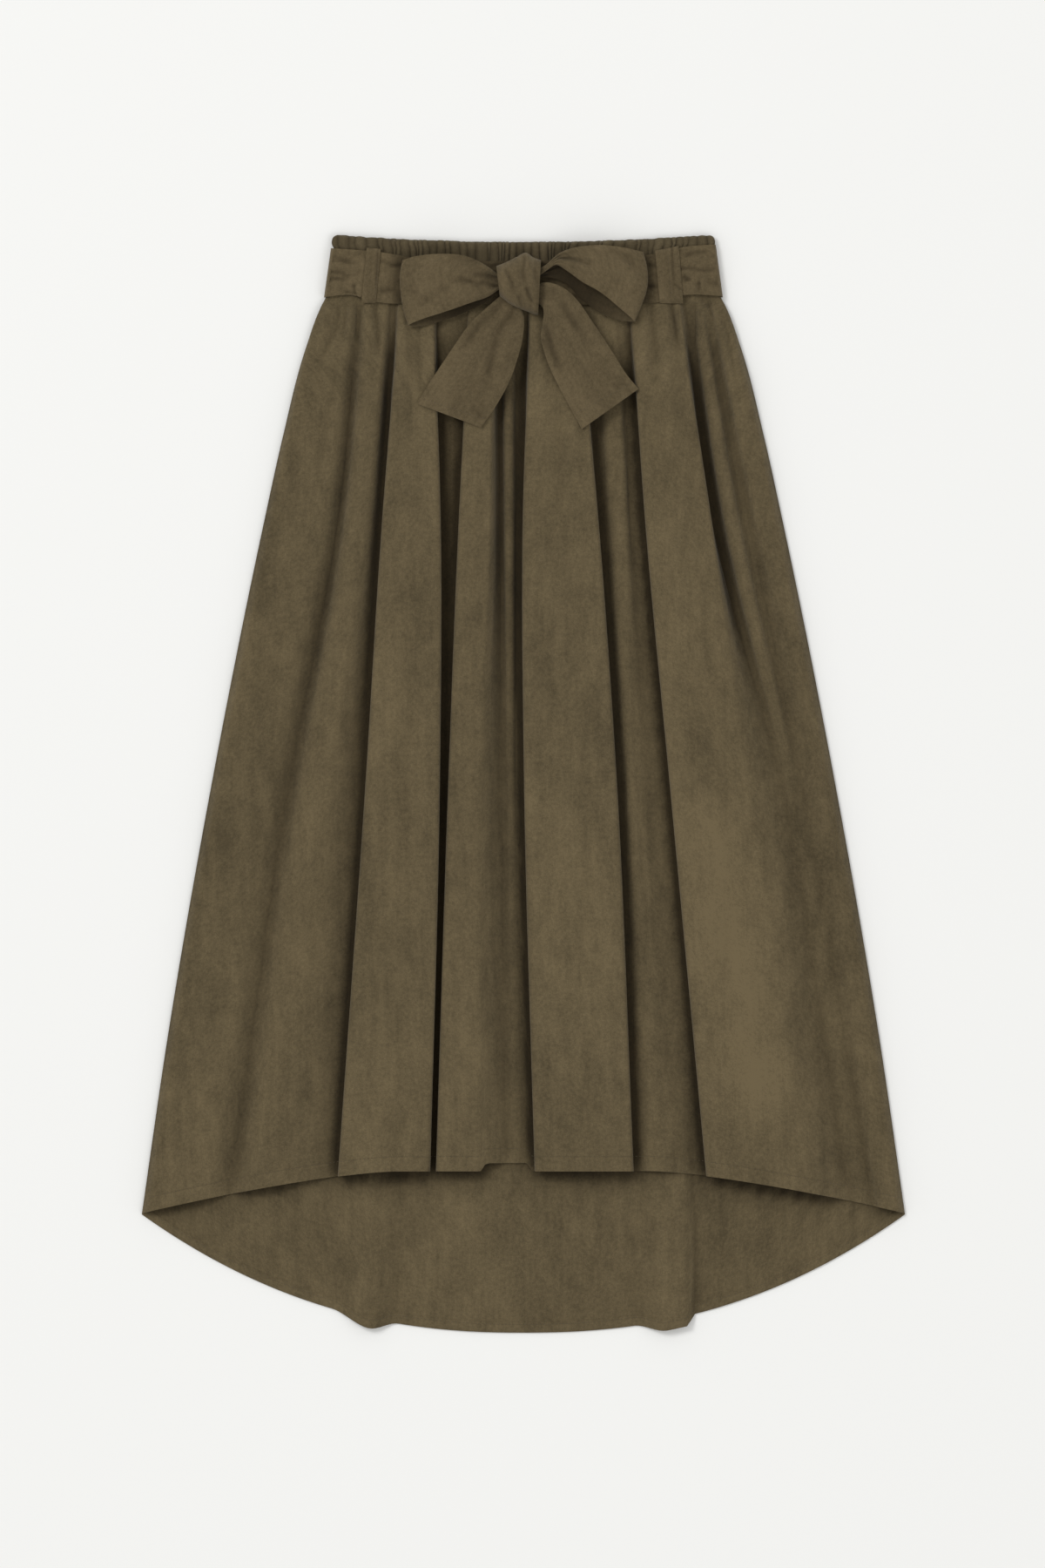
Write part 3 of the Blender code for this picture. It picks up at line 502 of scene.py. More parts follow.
# Gathers and creases below the belt and on the pleats.
FRONT_CREASES = rows_of(
    Crease,
    (-2.0, 2.6, ((-162.5, 53.9), (-164.0, 80.9), (-174.0, 100.1), (-179.4, 119.4))),
    (-1.6, 2.0, ((-156.3, 50.8), (-157.1, 73.2), (-159.4, 93.9))),
    (-2.4, 2.2, ((-144.8, 50.8), (-146.3, 77.0), (-146.3, 100.1))),
    (-2.3, 2.6, ((-131.7, 53.9), (-128.6, 88.5), (-127.0, 107.8))),
    (2.2, 4.0, ((-137.8, 53.9), (-137.8, 84.7), (-139.4, 123.2))),
    (1.9, 3.6, ((-151.7, 53.9), (-152.5, 80.9), (-156.3, 115.5))),
    (1.6, 4.5, ((-170.2, 53.9), (-174.8, 78.5), (-184.0, 107.8))),
    (-3.0, 2.8, ((-115.5, 58.5), (-115.5, 100.1), (-114.7, 142.5))),
    (1.9, 4.5, ((-107.0, 63.1), (-105.5, 100.1), (-105.5, 154.0))),
    (-2.0, 2.6, ((-93.2, 65.5), (-91.6, 107.8), (-90.1, 150.2))),
    (1.6, 4.0, ((-83.2, 69.3), (-82.4, 100.1), (-82.4, 138.6))),
    (-3.4, 3.0, ((-75.5, 65.5), (-74.7, 88.5), (-73.9, 107.8))),
    (1.6, 4.5, ((-40.8, 69.3), (-42.4, 123.2), (-43.9, 192.5))),
    (1.3, 6.0, ((-13.1, 100.1), (-13.1, 177.1), (-14.6, 331.1), (-16.2, 523.6))),
    (-3.2, 2.8, ((2.3, 61.6), (2.3, 100.1), (1.5, 138.6))),
    (1.4, 5.0, ((13.1, 69.3), (14.6, 123.2), (16.2, 207.9))),
    (1.0, 6.0, ((41.6, 84.7), (47.0, 154.0), (51.6, 254.1))),
    (-1.0, 5.0, ((30.0, 100.1), (32.3, 192.5), (36.2, 331.1))),
    (-3.0, 2.8, ((93.2, 61.6), (93.2, 100.1), (93.9, 142.5))),
    (1.9, 4.5, ((104.0, 61.6), (105.5, 100.1), (110.1, 161.7))),
    (-1.5, 3.2, ((113.2, 60.1), (115.5, 88.5), (119.4, 123.2))),
    (1.9, 4.0, ((122.4, 58.5), (124.7, 84.7), (128.6, 130.9))),
    (-2.4, 2.6, ((130.1, 55.4), (134.0, 78.5), (138.6, 107.8))),
    (2.0, 3.6, ((137.1, 55.4), (140.9, 78.5), (146.3, 115.5))),
    (-3.5, 3.4, ((142.5, 52.4), (147.8, 78.5), (152.5, 104.0))),
    (-3.0, 2.6, ((153.2, 50.8), (150.9, 73.2), (153.2, 96.2))),
    (2.2, 3.6, ((157.1, 50.8), (158.6, 73.9), (164.0, 107.8), (176.3, 154.0))),
    (-2.4, 2.4, ((162.5, 50.8), (164.8, 63.1), (170.2, 83.2))),
    (-2.7, 2.6, ((167.1, 50.8), (170.2, 61.6), (180.2, 84.7), (187.9, 130.9), (195.6, 169.4))),
    (-0.9, 4.5, ((-166.3, 130.9), (-176.3, 177.1), (-185.6, 223.3), (-193.3, 269.5))),
    (1.0, 7.0, ((-158.6, 154.0), (-165.6, 207.9), (-173.2, 269.5), (-181.0, 346.5))),
    (-0.8, 3.0, ((93.2, 207.9), (97.8, 446.6), (110.9, 639.1), (126.3, 785.4))),
    (4.2, 17.0, ((185.6, 100.1), (185.6, 154.0), (193.3, 254.1), (213.3, 377.3), (230.2, 485.1))),
    (3.5, 12.0, ((170.2, 46.2), (179.4, 100.1), (188.7, 146.3))),
    (2.2, 15.0, ((-145.5, 223.3), (-156.3, 331.1), (-171.7, 469.7), (-185.6, 592.9))),
    (0.8, 12.0, ((-231.8, 284.9), (-253.3, 408.1), (-273.4, 531.3), (-287.2, 639.1))),
    (-0.7, 12.0, ((-214.8, 331.1), (-234.8, 469.7), (-250.2, 592.9), (-261.0, 700.7))),
    (0.9, 12.0, ((-274.9, 608.3), (-284.1, 716.1), (-290.3, 831.6))),
    (1.0, 11.0, ((-114.7, 269.5), (-119.4, 408.1), (-124.0, 546.7), (-127.0, 654.5))),
    (-0.8, 11.0, ((-96.2, 331.1), (-99.3, 469.7), (-100.9, 608.3), (-104.0, 746.9))),
    (0.9, 10.0, ((-114.7, 654.5), (-119.4, 746.9), (-124.0, 825.4))),
    (0.9, 12.0, ((26.9, 284.9), (30.0, 423.5), (34.6, 562.1), (37.7, 685.3))),
    (-0.8, 11.0, ((51.6, 300.3), (56.2, 438.9), (60.8, 577.5), (67.0, 716.1))),
    (0.9, 11.0, ((30.0, 654.5), (34.6, 746.9), (37.7, 825.4))),
    (0.9, 12.0, ((131.7, 223.3), (145.5, 346.5), (159.4, 485.1), (168.6, 608.3))),
    (-0.8, 10.0, ((153.2, 269.5), (168.6, 408.1), (182.5, 546.7), (193.3, 654.5))),
    (0.9, 12.0, ((188.7, 623.7), (201.0, 731.5), (210.2, 833.1))),
    (0.8, 12.0, ((208.7, 284.9), (231.8, 408.1), (253.3, 531.3), (270.3, 654.5))),
    (-0.8, 12.0, ((221.0, 377.3), (239.5, 485.1), (257.9, 608.3), (273.4, 731.5))),
    (0.9, 12.0, ((276.4, 654.5), (288.8, 746.9), (299.5, 839.3))),
)


def front_hem(x):
    """Distance down to the front hem, lifted where the cloth lies deep between two folds."""
    outside = np.clip((np.abs(x) - FRONT_HEM_LEVEL) / (HEM_HALF_WIDTH - FRONT_HEM_LEVEL), 0.0, 1.0)
    left, right = MIDDLE_HEM
    deep = smooth((x - left) / MIDDLE_HEM_EASE) * smooth((right - x) / MIDDLE_HEM_EASE)
    drop = (SIDE_LENGTH - FRONT_LENGTH) * outside ** FRONT_HEM_CURVE
    return FRONT_LENGTH + drop - MIDDLE_HEM_LIFT * deep


def fold_side(share, under, rise):
    """Run across and height of a fold's side: turned under its edge, or sloping away."""
    turned = np.minimum(np.maximum(under, 0.0), TURN_LIMIT * rise * rise)
    sloped = np.maximum(-under, 0.0)
    rounding = EDGE_ROUNDING * np.minimum(1.0, rise / 8.0) * np.cos(math.pi * share) ** 3
    run = turned * 0.5 * (1 + np.sin(2 * math.pi * share)) - sloped * (1 - share) - rounding
    crisp = sloped / (sloped + 8.0)
    height = (1 - crisp) * 0.5 * (1 - np.cos(math.pi * share)) + crisp * share
    return run, height


def front_fold(fold, at, share, across, part):
    """x and z of points of one fold. part is -1 on its left side, 0 on its top, 1 on its right."""
    grown = WAIST_SHARE + (1 - WAIST_SHARE) * smooth((at - PUFF_START) / PUFF_LENGTH)
    rise = np.maximum(through(LEVELS, fold.rise, at), 0.3) * grown
    roll = through(LEVELS, SIDE_ROLL, at)
    outer = half_width(at) - CLOTH / 2
    edge = CLOTH / 2
    ends = []
    sides = ((-1, fold.left, fold.under_left), (1, fold.right, fold.under_right))
    for side, place, under in sides:
        if place is None:
            ends.append((side * (outer - roll), roll * (share - 1), np.sin(0.5 * math.pi * share)))
        else:
            run, lift = fold_side(share, through(LEVELS, under, at), rise)
            ends.append((through(LEVELS, place, at) - side * edge, run, lift))
    from_left = ends[0][0] + ends[0][1]
    from_right = ends[1][0] - ends[1][1]
    x = np.where(part < 0, from_left,
                 np.where(part > 0, from_right, from_left + (from_right - from_left) * across))
    gathers = np.sin(2 * math.pi * fold.waves * across) * np.exp(-(at - BELT_RIM) / GATHER_LENGTH)
    crown = CREST_CROWN * np.sin(math.pi * across) + GATHER_HEIGHT * np.minimum(gathers, 1.0)
    crest_z = rise + crown * np.minimum(1.0, rise / 6.0)
    side_z = rise * np.where(part < 0, ends[0][2], ends[1][2])
    return x, np.where(part == 0, crest_z, side_z)


def front_sheet(down):
    """x and z of the front's cloth for rows of distances down, one column per point across."""
    xs = []
    zs = []
    start = 0
    for fold in FOLDS:
        shares = np.linspace(0.0, 1.0, FOLD_STEPS)
        share = np.concatenate((shares, np.ones(fold.crest), shares[::-1]))[None, :]
        size = share.shape[1]
        order = np.arange(size)[None, :]
        part = np.where(order < FOLD_STEPS, -1, np.where(order >= FOLD_STEPS + fold.crest, 1, 0))
        across = np.clip((order - FOLD_STEPS + 1) / (fold.crest + 1), 0.0, 1.0)
        across = 0.35 * across + 0.65 * smooth(across)
        x, z = front_fold(fold, down[:, start:start + size], share, across, part)
        xs.append(x)
        zs.append(z)
        start += size + VALLEY_STEPS
    for left in range(len(FOLDS) - 1):
        share = (np.arange(VALLEY_STEPS)[None, :] + 1) / (VALLEY_STEPS + 1)
        for values in (xs, zs):
            first = values[2 * left][:, -1:]
            last = values[2 * left + 1][:, :1]
            values.insert(2 * left + 1, first + (last - first) * share)
    x = np.concatenate(xs, axis=1)
    z = np.concatenate(zs, axis=1)
    risen = back_rise(x, down)
    floor = belt_step(down - STEP_LAG) + risen + 0.35 * np.minimum(risen, 1.5) + CLOTH + SEAM_GAP
    return x, floor + CLOTH / 2, z


columns = sum(2 * FOLD_STEPS + fold.crest for fold in FOLDS) + VALLEY_STEPS * (len(FOLDS) - 1)
hem_x = front_sheet(np.full((1, columns), FRONT_LENGTH))[0]
hem = front_hem(hem_x)
hem_rows = np.array(FRONT_HEM_ROWS)[:, None]
upward = np.linspace(0.0, 1.0, FRONT_ROWS)[1:, None]
above_hem = hem - FRONT_HEM_ROWS[-1]
above = SIDE_RIM + (above_hem - SIDE_RIM) * (1 - upward) ** FRONT_SPREAD
down = np.concatenate((hem - hem_rows, above, np.full((1, columns), BAND_DEPTH + SEAM_GAP)))
x, floor, rise = front_sheet(down)
lift = creased(x, down, FRONT_CREASES) + unevenness(x, down, 11, 0.55)
lift -= 0.3 * np.exp(-((hem - down - FRONT_HEM_SEAM) / 0.8) ** 2)
lift *= smooth((down - BELT_RIM + 2.0) / 8.0) * smooth((half_width(down) - np.abs(x)) / 8.0)
lift += WAIST_PUFF * smooth((down - BELT_RIM) / 8.0) * smooth((PUFF_END - down) / PUFF_LENGTH)
front_middle = np.stack((x, down, floor + np.maximum(rise + lift, 0.15 * rise)), axis=2)
front_cloth = shell_of("front_panel", *walled(front_middle), olive_shell, "shell")
front_top = front_middle + (0.0, 0.0, WALL / 2)


def filled(grid, across, along):
    """Points of a grid, with this many more between its columns and its rows."""
    share = (np.arange(across) / across)[None, None, :, None]
    grid = grid[:, :-1, None, :] * (1 - share) + grid[:, 1:, None, :] * share
    grid = grid.reshape(grid.shape[0], -1, 3)
    share = (np.arange(along) / along)[None, :, None, None]
    grid = grid[:-1, None] * (1 - share) + grid[1:, None] * share
    return grid.reshape(-1, 3)


def blurred(heights, reach):
    """A height map, averaged twice over a square of this reach in cells."""
    for _ in range(2):
        for axis in (0, 1):
            spread = [(reach + 1, reach) if axis == other else (0, 0) for other in (0, 1)]
            total = np.cumsum(np.pad(heights, spread, mode="edge"), axis=axis)
            size = heights.shape[axis]
            upper = np.take(total, np.arange(size) + 2 * reach + 1, axis=axis)
            heights = (upper - np.take(total, np.arange(size), axis=axis)) / (2 * reach + 1)
    return heights


def cell_of(x, down):
    """The cell of the height map that holds a point."""
    column = np.clip(np.round((x - MAP_LEFT) / MAP_STEP), 0, MAP_SIZE[0] - 1)
    row = np.clip(np.round((down - MAP_TOP) / MAP_STEP), 0, MAP_SIZE[1] - 1)
    return column.astype(int), row.astype(int)


heights = np.zeros(MAP_SIZE)
for grid in (filled(back_top, 3, 6), filled(front_top, 4, 5)):
    np.maximum.at(heights, cell_of(grid[:, 0], grid[:, 1]), grid[:, 2])
broad_height = blurred(heights, 8)
close_height = blurred(heights, 2)


def depth_of(points):
    """How deep points lie among the folds round them, from 0 in the open to 1, which the finishes
    turn into painted shade.
    """
    cell = cell_of(points[..., 0], points[..., 1])
    broad = np.clip((broad_height[cell] - points[..., 2]) / 9.0, 0.0, 1.0)
    close = np.clip((close_height[cell] - points[..., 2]) / 3.0, 0.0, 1.0)
    return np.clip(0.75 * broad ** 1.2 + 0.45 * close, 0.0, 1.0)


for piece, grid in ((back_cloth, back_top), (front_cloth, front_top)):
    # Painted shade, darker the deeper a point lies among the folds.
    mark(piece, "depth", depth_of(grid))
    # Broad patches of painted light and painted shade.
    mark(piece, "painted_light", creased(grid[..., 0], grid[..., 1], PAINTED_LIGHT_PATCHES))

# Hem stitches: single rows of short running stitches in matching thread, 13 mm above the front
# hem and along the back hem's turn, which shows its inside. One stitch is made and copied.
STITCH_PITCH = 3.4
STITCH_LENGTH = 2.3
STITCH_WIDTH = 0.45
THREAD_COLOUR = (0.075, 0.056, 0.030)

bpy.ops.mesh.primitive_uv_sphere_add(segments=6, ring_count=4, radius=0.5)
stitch_form = bpy.context.object
stitch_points = np.array([vertex.co[:] for vertex in stitch_form.data.vertices])
stitch_faces = [tuple(face.vertices) for face in stitch_form.data.polygons]
bpy.data.objects.remove(stitch_form, do_unlink=True)

thread = Finish("olive_thread")
thread_place = thread.node("ShaderNodeTexCoord", {}, {}, 3)
thread_twist = thread.node("ShaderNodeTexNoise", {}, {"Vector": thread_place, "Scale": 900.0})
thread_tone = thread.node("ShaderNodeMix", {"data_type": "RGBA"}, {
    0: thread_twist, 6: tuple(0.7 * value for value in THREAD_COLOUR) + (1.0,),
    7: tuple(1.5 * value for value in THREAD_COLOUR) + (1.0,)}, 2)
thread.join(thread.shader, {"Base Color": thread_tone, "Roughness": 0.8})


def stitched(name, lines, pitch=STITCH_PITCH, length=STITCH_LENGTH):
    """Running stitches along lines of x, down, z points, sunk a little into the cloth."""
    points = []
    faces = []
    for line in lines:
        line = np.asarray(line, float)
        run = np.concatenate(([0.0], np.cumsum(np.linalg.norm(np.diff(line, axis=0), axis=1))))
        for place in np.arange(pitch * 0.5, run[-1], pitch):
            middle = np.array([np.interp(place, run, line[:, axis]) for axis in range(3)])
            ahead = np.array([np.interp(place + 1.0, run, line[:, axis]) for axis in range(3)])
            behind = np.array([np.interp(place - 1.0, run, line[:, axis]) for axis in range(3)])
            way = (ahead - behind) / max(np.linalg.norm(ahead - behind), 1e-6)
            if abs(way[2]) > 0.75:
                continue
            side = np.cross((0.0, 0.0, 1.0), way)
            side /= np.linalg.norm(side)
            rise = np.cross(way, side)
            start = len(points)
            for form in stitch_points:
                at = middle + form[0] * length * way + form[1] * STITCH_WIDTH * side
                points.append(at + form[2] * STITCH_WIDTH * rise)
            faces += [tuple(start + corner for corner in face) for face in stitch_faces]
    mesh = bpy.data.meshes.new(name)
    places = [(x * MM, (GARMENT_LENGTH / 2 - down) * MM, z * MM) for x, down, z in points]
    mesh.from_pydata(places, [], faces)
    piece = bpy.data.objects.new(name, mesh)
    bpy.context.scene.collection.objects.link(piece)
    bpy.ops.object.select_all(action="DESELECT")
    bpy.context.view_layer.objects.active = piece
    piece.select_set(True)
    bpy.ops.object.mode_set(mode="EDIT")
    bpy.ops.mesh.select_all(action="SELECT")
    bpy.ops.mesh.normals_make_consistent(inside=False)
    bpy.ops.object.mode_set(mode="OBJECT")
    bpy.ops.object.shade_smooth()
    mesh.materials.append(thread.material)
    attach(piece, "root")


def along_sheet(middle, hems, above, raised):
    """The line on a sheet at a distance above its hem."""
    line = []
    for column in range(middle.shape[1]):
        distance = hems[0, column] - middle[:, column, 1]
        line.append([np.interp(above, distance, middle[:, column, axis]) for axis in range(3)])
    line = np.array(line)
    line[:, 2] += raised
    return line


front_hem_line = along_sheet(front_middle, hem, FRONT_HEM_SEAM, WALL / 2 + 0.08)
stitched("front_hem_stitches", [front_hem_line[3:-3]])
back_hem_line = along_sheet(back_top, back_hem(share), BACK_HEM_TURN - 1.6, 0.1)
stitched("back_hem_stitches", [back_hem_line[4:-4]])

# The waistband: a casing of the same cloth, gathered into some fifty uneven ruches by the
# elastic inside it. Its front half lies on its back half.
BAND_HALF_WIDTH = 167.6
BAND_DIP = 6.6
BAND_CORNER = 5.4
BAND_THICKNESS = 3.0
RUCHES = 54
RUCHE_STEPS = 9
BAND_ROWS = 22
BAND_LIGHT = (0.128, 0.100, 0.055)
BAND_DARK = (0.072, 0.054, 0.028)
olive_band = woven("olive_band", BAND_LIGHT, BAND_DARK)


def band_top(x):
    """Distance down to the waistband's top edge, with its rounded corners."""
    dip = BAND_DIP * (1 - (x / BAND_HALF_WIDTH) ** 2)
    into = np.maximum(0.0, np.abs(x) - (BAND_HALF_WIDTH - BAND_CORNER)) / BAND_CORNER
    return dip + BAND_CORNER * (1 - np.sqrt(np.maximum(0.0, 1 - into * into)))


def band_half(down):
    """Half width of the waistband, a little wider where it stands out above the belt."""
    return BAND_HALF_WIDTH + 1.8 * smooth((12.0 - down) / 4.0)


def ruched(seed):
    """x, down and gather height of a half of the casing, the same each time for a seed."""
    chance = np.random.default_rng(seed)
    widths = chance.uniform(0.35, 1.7, RUCHES)
    knots = np.concatenate(([0.0], np.cumsum(widths) / widths.sum()))
    tall = np.concatenate((chance.uniform(0.45, 1.0, RUCHES), [0.6]))
    leans = np.concatenate(([0.0], chance.normal(0.0, 1.7, RUCHES - 1), [0.0]))
    count = np.arange(RUCHES * RUCHE_STEPS + 1)
    ruche = np.minimum(count // RUCHE_STEPS, RUCHES - 1)
    within = (count - ruche * RUCHE_STEPS) / RUCHE_STEPS
    across = knots[ruche] + (knots[ruche + 1] - knots[ruche]) * within
    lean = leans[ruche] + (leans[ruche + 1] - leans[ruche]) * within
    up = np.linspace(0.0, 1.0, BAND_ROWS)[:, None]
    x = BAND_HALF_WIDTH * (2 * across - 1)[None, :] + lean[None, :] * np.sin(2.6 * up + 0.3)
    x = np.clip(x, -BAND_HALF_WIDTH, BAND_HALF_WIDTH)
    ruffles = chance.uniform(-0.4, 0.5, RUCHES + 1)
    ruffle = np.interp(across * RUCHES, np.arange(RUCHES + 1), ruffles)
    height = (np.sin(math.pi * within) ** 0.75 * tall[ruche])[None, :]
    twist = 0.82 + 0.18 * np.sin(5.0 * up + leans[ruche][None, :] * 3.0)
    top = band_top(x) - (0.6 * height + ruffle) * smooth((BAND_HALF_WIDTH - np.abs(x)) / 6.0)
    down = BAND_DEPTH + (top - BAND_DEPTH) * up
    edge = np.minimum((down - top) / 2.6, (BAND_HALF_WIDTH + 0.01 - np.abs(x)) / 3.0)
    rolled = np.sqrt(np.maximum(0.0, 1 - (1 - np.clip(edge, 0.0, 1.0)) ** 2))
    return x * band_half(down) / BAND_HALF_WIDTH, down, height * twist, rolled


band_floor = CLOTH + SEAM_GAP
front_floor = band_floor + BAND_THICKNESS + SEAM_GAP
for node, seed, base, facing, resting in (
        ("waistband_back", 3, band_floor, -1, back_cloth),
        ("waistband_front", 8, front_floor, 1, "waistband_back_cloth")):
    x, down, gather, rolled = ruched(seed)
    thick = 0.5 + 1.1 * rolled + 1.9 * gather * rolled
    flat_side = np.full_like(x, 0.25) - 0.25 * rolled
    if facing > 0:
        top_z = base + thick
        low_z = base + flat_side
    else:
        top_z = base + BAND_THICKNESS - flat_side
        low_z = base + BAND_THICKNESS - np.minimum(thick, BAND_THICKNESS)
    band = shell_of(node, np.stack((x, down, top_z), axis=2), np.stack((x, down, low_z), axis=2),
                    olive_band, "waistband")
    # Painted shade: darker between the ruches and below the band's top, under the belt.
    mark(band, "depth", 0.62 * (1 - gather) ** 1.5 + 0.25 * smooth((down - 8.0) / 8.0))

# The tie belt: a long soft band of the same cloth, doubled, that goes round the waist over
# the waistband. A plain stretch lies under the back, and two front ones roll over the sides.
BELT_FRONT_BASE = 8.4
BELT_SIDE_TOP = 170.2
BELT_SIDE_LOW = 176.3
BELT_TURN = 2.5
BELT_ROWS = 40
BELT_COLUMNS = 150
BELT_ROLL_STEPS = 10
BELT_BACK_ROWS = 26
BELT_BACK_COLUMNS = 130
BELT_BACK_DEPTH = 43.0
BELT_BACK_HALF = 170.0
BELT_BACK_ROUNDING = 1.6
SASH_LIGHT = (0.143, 0.107, 0.057)
SASH_DARK = (0.070, 0.052, 0.026)
BeltRow = namedtuple("BeltRow", "x top low")
BELT_LEFT = rows_of(
    BeltRow,
    (-176.3, 11.5, 54.8),
    (-151.7, 13.0, 53.0),
    (-130.0, 14.8, 59.0),
    (-93.2, 20.8, 61.0),
    (-1.0, 23.5, 61.0),
)
BELT_RIGHT = rows_of(
    BeltRow,
    (1.0, 23.5, 60.5),
    (107.0, 18.0, 60.5),
    (120.1, 16.0, 59.4),
    (140.1, 11.0, 53.5),
    (176.3, 8.2, 53.8),
)
BELT_CREASES = rows_of(
    Crease,
    (-0.9, 2.2, ((-174.8, 23.9), (-160.9, 23.1), (-148.6, 25.4))),
    (0.8, 2.6, ((-174.8, 27.7), (-159.4, 27.7), (-145.5, 30.0))),
    (-1.1, 2.0, ((-175.6, 32.3), (-162.5, 33.1), (-150.2, 39.3))),
    (-0.9, 2.0, ((-174.8, 40.0), (-164.0, 38.5), (-153.2, 40.0))),
    (0.8, 3.0, ((-174.8, 46.2), (-160.9, 44.7), (-148.6, 47.0))),
    (-1.3, 2.0, ((-150.2, 43.1), (-147.8, 52.4), (-149.4, 60.1))),
    (1.2, 2.4, ((-146.3, 44.7), (-144.8, 53.9), (-146.3, 61.6))),
    (-0.9, 2.0, ((-157.8, 49.3), (-150.2, 53.9), (-144.0, 58.5))),
    (-0.7, 2.4, ((-127.0, 23.1), (-114.7, 26.9), (-100.9, 27.7))),
    (0.6, 3.5, ((-127.0, 37.0), (-114.7, 40.0), (-100.9, 41.6))),
    (-0.7, 2.6, ((-127.0, 49.3), (-116.3, 48.5), (-104.0, 50.8))),
    (-1.6, 2.4, ((141.7, 35.4), (144.8, 39.3), (150.2, 40.0))),
    (1.4, 2.2, ((140.9, 33.9), (149.4, 34.6), (157.1, 37.0), (160.2, 44.7), (157.1, 53.1))),
    (-1.2, 2.0, ((155.5, 40.0), (155.5, 46.2), (152.5, 51.6))),
    (1.2, 2.6, ((144.0, 44.7), (148.6, 47.7), (151.7, 52.4))),
    (-0.9, 2.2, ((136.3, 30.0), (147.1, 29.3), (162.5, 31.6), (174.8, 30.8))),
    (0.7, 3.0, ((142.5, 23.1), (153.2, 23.1), (165.6, 25.4), (175.6, 24.6))),
    (-0.8, 2.4, ((142.5, 17.7), (153.2, 15.4), (170.2, 15.4))),
    (-0.8, 2.6, ((160.9, 41.6), (168.6, 43.1), (177.1, 43.1))),
    (0.7, 2.6, ((162.5, 47.7), (170.2, 48.5), (177.9, 48.5))),
    (-0.7, 2.4, ((110.1, 26.2), (116.3, 27.7), (122.4, 30.0))),
    (-0.7, 2.4, ((110.1, 46.2), (116.3, 45.4), (122.4, 47.0))),
)
olive_sash = woven("olive_sash", SASH_LIGHT, SASH_DARK)
across = np.linspace(-1.0, 1.0, BELT_BACK_COLUMNS)[None, :]
low_share = np.linspace(1.0, 0.0, BELT_BACK_ROWS)[:, None]
x = (BELT_SIDE_TOP + (BELT_SIDE_LOW - BELT_SIDE_TOP) * low_share) * across
side_end = BELT_LEFT[0]
down = np.broadcast_to(side_end.top + (side_end.low - side_end.top) * low_share, x.shape)
edge = smooth(np.minimum(
    np.minimum(low_share, 1 - low_share) * BELT_BACK_DEPTH / BELT_BACK_ROUNDING,
    (1 - np.abs(across)) * BELT_BACK_HALF / BELT_BACK_ROUNDING))
belt_under = np.stack((x, down, 0.25 * (1 - edge)), axis=2)
belt_over = np.stack((x, down, 0.65 + 0.45 * edge), axis=2)
belt_back = shell_of("belt_back", belt_over, belt_under, olive_sash, "sash")


def belt_front(node, table, side):
    """One front stretch of the belt, from its rolled side edge to under the knot."""
    foot = CLOTH + SEAM_GAP
    height = BELT_FRONT_BASE + CLOTH / 2 - foot
    out = np.arange(BELT_COLUMNS)[None, :]
    out = out if side < 0 else out[:, ::-1]
    down_share = np.linspace(1.0, 0.0, BELT_ROWS)[:, None]
    edge = BELT_SIDE_TOP + (BELT_SIDE_LOW - BELT_SIDE_TOP) * down_share - CLOTH / 2
    angle = 0.5 * math.pi * np.minimum(out / (BELT_ROLL_STEPS - 1), 1.0)
    along = np.clip((out - BELT_ROLL_STEPS + 1) / (BELT_COLUMNS - BELT_ROLL_STEPS), 0.0, 1.0)
    off = edge - BELT_TURN * (1 - np.cos(angle)) + (1.0 - (edge - BELT_TURN)) * along
    x = side * off
    top, low = read(table, x)
    down = top + (low - top) * down_share
    rim = smooth(np.minimum(down - top, low - down) / 2.4)
    lift = creased(x, down, BELT_CREASES) + 0.35 * unevenness(x, down, 21, 1.0, 22.0, 12.0)
    lift = np.where(angle < 1.5, 0.0, lift) * rim
    z = foot + height * np.sin(angle) + np.clip(lift, -0.9, 1.1) + 0.35 * rim - 0.35
    belt = shell_of(node, *walled(np.stack((x, down, z), axis=2)), olive_sash, "sash")
    # Painted shade: darker in the creases and towards the bow, beside and under its loops.
    mark(belt, "depth", np.clip(-0.5 * lift, 0.0, 0.6) + 0.60 * smooth((124.0 - np.abs(x)) / 16.0))


belt_front("belt_left", BELT_LEFT, -1)
belt_front("belt_right", BELT_RIGHT, 1)

# The belt loops: narrow folded strips sewn to the waistband above and below the belt, which
# passes under them. Each is edge-stitched, and the right one is puckered by its seams.
STRAP_BASE = 9.9
STRAP_BEND = ((0.0, -1.2), (1.0, -0.5), (2.6, 0.65), (6.0, 0.75))
STRAP_ROWS = 60
STRAP_COLUMNS = 34
STRAP_WALL = 0.8
StrapRow = namedtuple("StrapRow", "node top_left top_right low_left low_right left_top right_top "
                                  "low cut seam_column")
STRAPS = rows_of(
    StrapRow,
    ("belt_loop_left", -138.5, -126.0, -143.0, -130.5, 11.4, 12.6, 59.8,
     (0.013, 0.053), STRAP_COLUMNS - 4),
    ("belt_loop_right", 116.5, 137.5, 120.5, 141.0, 14.0, 9.8, 60.2,
     (0.021, 0.053), STRAP_COLUMNS // 2),
)
STRAP_CREASES = rows_of(
    Crease,
    (-0.7, 1.2, ((-128.6, 13.1), (-129.4, 30.8), (-130.9, 56.2))),
    (-0.9, 1.3, ((130.9, 7.7), (131.7, 23.1), (133.2, 58.5))),
    (0.8, 1.6, ((135.5, 13.9), (134.8, 23.1), (136.3, 30.8))),
    (-0.7, 1.5, ((134.0, 26.2), (138.6, 28.5), (143.2, 27.7))),
    (0.8, 1.8, ((135.5, 32.3), (138.6, 37.0), (137.1, 43.1))),
    (-0.8, 1.6, ((133.2, 43.1), (137.8, 47.0), (143.2, 48.5))),
    (0.6, 1.8, ((136.3, 49.3), (139.4, 53.9), (138.6, 60.1))),
)
strap_lines = []
